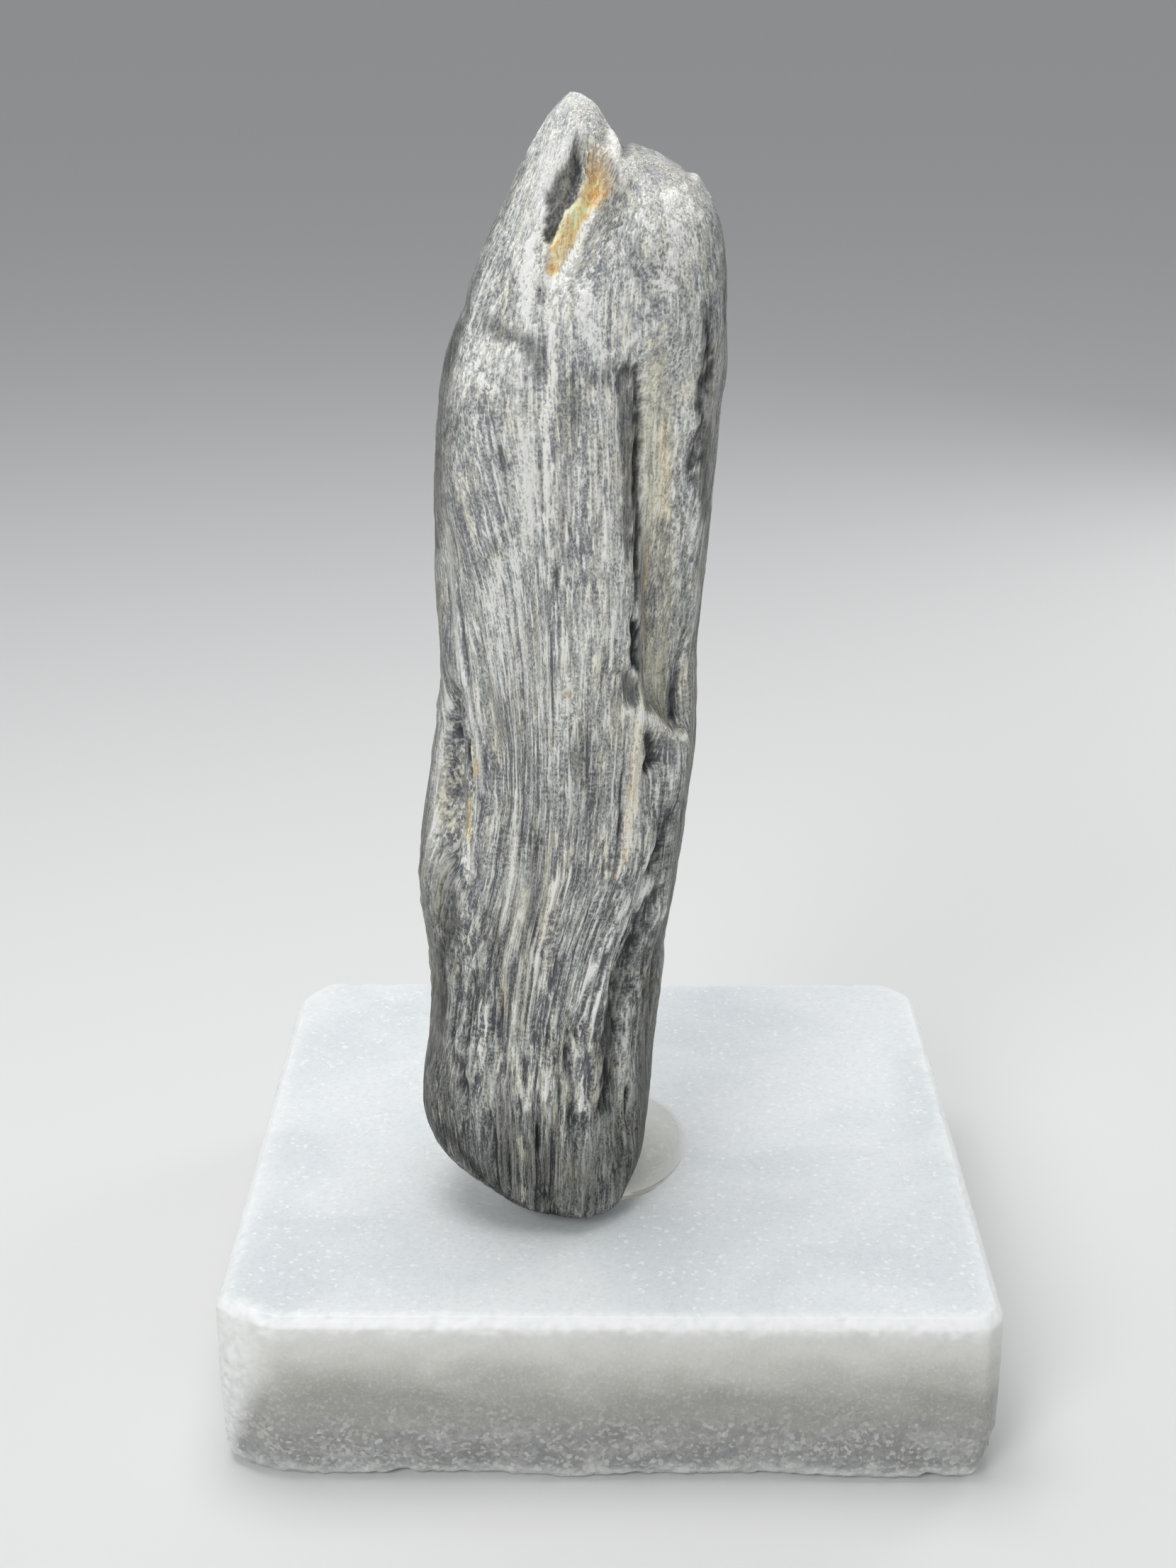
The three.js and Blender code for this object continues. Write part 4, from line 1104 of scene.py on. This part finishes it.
@dataclass
class MarbleSlab:
    """The marble block that the wood stands on."""

    columns: int = 960
    side_rows: int = 56
    row_gap: float = 0.1                         # from the lowest row to the floor
    arris_rows: int = 9
    arris_drop: float = 1.8                      # height of the broken top edge
    top_rings: int = 14
    rough_from: float = 15.0                     # height from which the sides roughen downward
    base_shares: Triple = (0.35, 0.7, 0.985)     # the rings under the block, as shares of its outline
    rim_shares: tuple = (0.998, 0.995, 0.991, 0.986, 0.975)   # the rings just inside the top's rim
    finish: MarbleFinish = field(default_factory=MarbleFinish)

    def even_bearings(self, surface: BVHTree, height: float) -> Array:
        """Bearings from the middle that stand evenly along the block's outline.

        Args:
            surface: the block's surface.
            height: where the outline is taken.

        Returns:
            The bearings in radians, one for each column.
        """
        places = 7200                            # enough for its straight sides and its corners
        turns = np.linspace(0, 2 * math.pi, places, endpoint=False)
        outward = level_ways(turns)
        outline = cast_out(surface, np.broadcast_to([0.0, 0.0, height], outward.shape), outward)
        run = np.concatenate([[0], np.cumsum(np.linalg.norm(np.roll(outline, -1, 0) - outline, axis=1))])
        wanted = np.linspace(0, run[-1], self.columns, endpoint=False)
        return np.interp(wanted, run, np.append(turns, 2 * math.pi))

    def build(self) -> Piece:
        """Makes and dresses the block.

        Returns:
            The block's object.
        """
        surface = node_surface(Node.BLOCK, 0)
        top = block_top()
        out = level_ways(self.even_bearings(surface, top * 0.6))[None, :, :]
        side = np.linspace(0, 1, self.side_rows) ** 1.15 * (top - self.arris_drop - 2 * self.row_gap)
        arris = np.linspace(top - self.arris_drop, top - 0.03, self.arris_rows)
        heights = np.concatenate([side + self.row_gap, arris])
        origins = np.zeros((heights.size, self.columns, 3))
        origins[..., 2] = heights[:, None]
        walls = cast_out(surface, origins, np.broadcast_to(out, origins.shape))
        level = walls[..., 2]
        coarse = noise_at(walls, (4.5, 4.5, 2.2), 1.3)
        medium = noise_at(walls, (1.5, 1.5, 1.2), 6.1)
        fine = noise_at(walls, (0.7, 0.7, 0.6), 2.9)
        bites = smooth_step(0.10, 0.55, noise_at(walls * [1, 1, 0], (5.0, 5.0, 1.0), 11.0))
        nicks = smooth_step(0.15, 0.6, noise_at(walls * [1, 1, 0.4], (1.9, 1.9, 1.9), 17.0))
        rough = smooth_step(self.rough_from, 3.0, level + 4.0 * coarse)
        foot = smooth_step(3.0, 0.0, level)
        brink = smooth_step(top - 2.4, top - 0.4, level)
        inward = 0.05 + rough * (0.30 + 0.22 * coarse + 0.22 * medium + 0.16 * fine)
        inward += foot * (0.35 + 1.3 * bites + 0.3 * medium) + 0.04 * medium
        inward += brink * (0.10 + 0.10 * medium + 0.12 * fine + 0.3 * nicks)
        walls = walls - np.maximum(inward, 0.0)[..., None] * out
        sink = brink * (0.05 + 0.12 * nicks)
        walls[..., 2] = np.where(level > top - 0.5, level - sink, level)

        inner = (1 - np.linspace(0, 1, self.top_rings + 2)[1:-1]) ** 0.8
        shrink = np.concatenate([self.rim_shares, inner])
        lids = walls[-1] * shrink[:, None, None]
        settle = smooth_step(1.0, 0.985, shrink)[:, None]
        lids[..., 2] = walls[-1, :, 2] + settle * (top - walls[-1, :, 2])
        base = walls[0] * np.array(self.base_shares)[:, None, None]
        base[..., 2] = 0.0
        rings = np.concatenate([base, walls, lids])
        piece = ring_piece("marble_block", rings, np.zeros(3), np.array([0.0, 0.0, top]))

        # the white broken top edge, and below it a paler fade that is partly painted light
        crest = smooth_step(top - 2.8, top - 1.2, level + 0.9 * medium + 0.9 * coarse)
        crest *= 0.32 + 0.35 * medium + 0.35 * fine
        edge_light = crest + 0.45 * smooth_step(top - 7.5, top - 1.2, level + 1.2 * coarse)
        # the front-left corner facet is paler, partly painted light
        corner_reach = 2.0 + 9.0 * smooth_step(-2.0, top, level)
        left_edge = walls[..., 0].min()
        corner = smooth_step(corner_reach, 0.3 * corner_reach, walls[..., 0] - left_edge + 0.8 * medium)
        corner *= smooth_step(-20.0, -44.0, walls[..., 1]) * (0.75 + 0.3 * medium + 0.3 * fine)
        foot_light = smooth_step(3.4, 0.8, level + 0.9 * medium + 0.8 * coarse) * (0.62 + 0.3 * fine)
        near_rim = smooth_step(0.965, 0.998, shrink)[:, None]
        # the pale edge values are partly painted light: the fade below the top edge and the front-left
        # corner
        values = np.zeros(rings.shape)           # how rough, how pale at an edge, how much of a side
        walled, lidded = np.split(values[len(base):], [len(walls)])
        walled[..., 0] = rough * 0.95
        walled[..., 1] = np.maximum(np.maximum(corner, foot_light), edge_light)
        walled[..., 2] = smooth_step(top - 0.4, top - 1.6, level)
        lidded[..., 1] = near_rim * (0.45 + 0.35 * medium[-1] + 0.35 * fine[-1])
        with_ends = np.concatenate([values.reshape(-1, 3), np.zeros((2, 3))])
        add_attribute(piece, "surface", "FLOAT_VECTOR", np.clip(with_ends, 0, 1))
        dress(piece, Node.BLOCK, self.finish.material())
        return piece


@dataclass
class ResinBead:
    """The bead of clear resin that the wood is set in."""

    columns: int = 256
    upper_rows: int = 110
    lower_rows: int = 24
    under_rings: int = 10
    waist: float = 3.6                           # height of its widest place
    crown: float = 9.7                           # height of its middle, were it not for the wood
    foot_share: float = 0.86                     # its foot's width as a share of its widest
    contact: float = 0.12                        # how far it wets the wood and the marble
    look_from: float = 1.0                       # depth in the block from which the wood is looked for
    finish: ResinFinish = field(default_factory=ResinFinish)

    def profile(self, radius: float) -> tuple[Array, Array]:
        """Half of its outline, from its underside to its crown.

        Args:
            radius: its widest reach.

        Returns:
            The reach and the height of each ring.
        """
        foot = radius * self.foot_share
        angle = np.linspace(0, 1, self.upper_rows) * math.pi / 2
        lower = np.linspace(0, 1, self.lower_rows)[:-1]
        under = np.linspace(0, foot, self.under_rings)[1:-1]
        lower_reach = foot + (radius - foot) * np.sin(lower * math.pi / 2)
        lower_height = -self.contact + (self.waist + self.contact) * lower
        upper_reach = radius * np.cos(angle)
        upper_height = self.waist + (self.crown - self.waist) * np.sin(angle)
        reach = np.concatenate([under, lower_reach, upper_reach[:-1]])
        return reach, np.concatenate([0 * under - self.contact, lower_height, upper_height[:-1]])

    def build(self, wood: Piece) -> Piece:
        """Makes and dresses the bead.

        Args:
            wood: the finished wood, whose underside shapes the bead's top.

        Returns:
            The bead's object.
        """
        low, high = (np.array(corner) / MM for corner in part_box(Node.BEAD.value))
        middle = (low + high) / 2
        top = block_top()
        reach, rise = self.profile((high[0] - low[0]) / 2)
        turn = np.linspace(0, 2 * math.pi, self.columns, endpoint=False)
        rings = np.empty((reach.size, self.columns, 3))
        rings[..., 0] = middle[0] + reach[:, None] * np.sin(turn)
        rings[..., 1] = middle[1] - reach[:, None] * np.cos(turn)
        rings[..., 2] = rise[:, None] + top
        underside = BVHTree.FromObject(wood, bpy.context.evaluated_depsgraph_get())

        def wetted(across: float, back: float) -> float:
            """How high the resin may rise at a place, which is where it wets the wood."""
            start = Vector((across * MM, back * MM, (top - self.look_from) * MM))
            hit = underside.ray_cast(start, Vector((0, 0, 1)))[0]
            return math.inf if hit is None else hit.z / MM + self.contact

        for point in rings.reshape(-1, 3):
            point[2] = min(point[2], wetted(point[0], point[1]))
        low_end = np.array([middle[0], middle[1], top - self.contact])
        high_end = np.array([middle[0], middle[1], min(top + self.crown, wetted(middle[0], middle[1]))])
        piece = ring_piece("resin_bead", rings, low_end, high_end)
        dress(piece, Node.BEAD, self.finish.material())
        piece.visible_shadow = False             # clear resin lets the light through
        return piece


@dataclass
class Studio:
    """The camera, the floor and the light."""

    eye: Triple = (-1.42, -306.94, 192.14)
    heading: float = 0.288                       # degrees to the left of straight ahead
    pitch: float = 20.225                        # degrees down
    roll: float = 0.056
    lens: float = 53.77
    floor_radius: float = 14000.0
    floor_columns: int = 96
    floor_rings: int = 24
    world_colour: tuple = (0.93, 0.96, 1.0, 1.0)
    world_strength: float = 0.34
    floor: FloorFinish = field(default_factory=FloorFinish)

    def place_camera(self) -> None:
        """Sets up the scene's camera."""
        camera = put_in_scene("camera", bpy.data.cameras.new("camera"))
        camera.data.lens = self.lens
        camera.data.clip_start = 0.01
        camera.data.clip_end = 100
        turn = Matrix.Rotation(math.radians(self.heading), 4, "Z")
        tilt = Matrix.Rotation(math.radians(90 - self.pitch), 4, "X")
        lean = Matrix.Rotation(math.radians(self.roll), 4, "Z")
        camera.matrix_world = Matrix.Translation(Vector(self.eye) * MM) @ turn @ tilt @ lean
        bpy.context.scene.camera = camera

    def lay_floor(self) -> None:
        """Lays the floor as a round sheet, finer towards its middle."""
        turn = np.linspace(0, 2 * math.pi, self.floor_columns, endpoint=False)
        reach = self.floor_radius * np.linspace(0, 1, self.floor_rings)[1:] ** 3
        points = [(0.0, 0.0, 0.0)]
        points += [(r * MM * math.cos(t), r * MM * math.sin(t), 0.0) for r in reach for t in turn]
        count = turn.size
        pairs = [(i, (i + 1) % count) for i in range(count)]
        faces = [(0, 1 + i, 1 + after) for i, after in pairs]
        for inner in range(1, 1 + (reach.size - 1) * count, count):
            outer = inner + count
            faces += [(inner + i, outer + i, outer + after, inner + after) for i, after in pairs]
        mesh = bpy.data.meshes.new("floor")
        mesh.from_pydata(points, [], faces)
        mesh.materials.append(self.floor.material())
        sheet = put_in_scene("floor", mesh)

    def hang_light(self, name: str, at: Triple, aim: Triple, width: float, power: float) -> Piece:
        """Hangs a soft light.

        Args:
            name: what it is called.
            at: where it hangs.
            aim: what it points at.
            width: how wide it is.
            power: its power in watts.

        Returns:
            The light's object.
        """
        lamp = bpy.data.lights.new(name, "AREA")
        lamp.shape = "DISK"
        lamp.size = width * MM
        lamp.energy = power
        holder = put_in_scene(name, lamp)
        turn = (Vector(aim) - Vector(at)).to_track_quat("-Z", "Y").to_matrix().to_4x4()
        holder.matrix_world = Matrix.Translation(Vector(at) * MM) @ turn
        return holder

    def build(self) -> None:
        """Sets up everything that isn't part of the object."""
        self.place_camera()
        self.lay_floor()
        self.hang_light("overhead", (-60, 20, 560), (0, -5, 60), 420, 1.75)
        self.hang_light("back", (420, 380, 200), (20, 0, 30), 300, 0.7).visible_glossy = False
        self.hang_light("front", (-430, -800, 640), (0, 0, 80), 420, 3.3)
        world = bpy.data.worlds.new("world")
        world.use_nodes = True
        sky = world.node_tree.nodes["Background"]
        sky.inputs["Color"].default_value = self.world_colour
        sky.inputs["Strength"].default_value = self.world_strength
        bpy.context.scene.world = world
        bpy.context.scene.view_settings.view_transform = "Standard"


def main() -> None:
    """Builds the pieces in order, and logs how many faces each has."""
    logging.basicConfig(level=logging.INFO, format="%(message)s")
    Studio().build()
    MarbleSlab().build()
    wood = PetrifiedWood().build()
    ResinBead().build(wood)


if __name__ == "__main__":
    main()
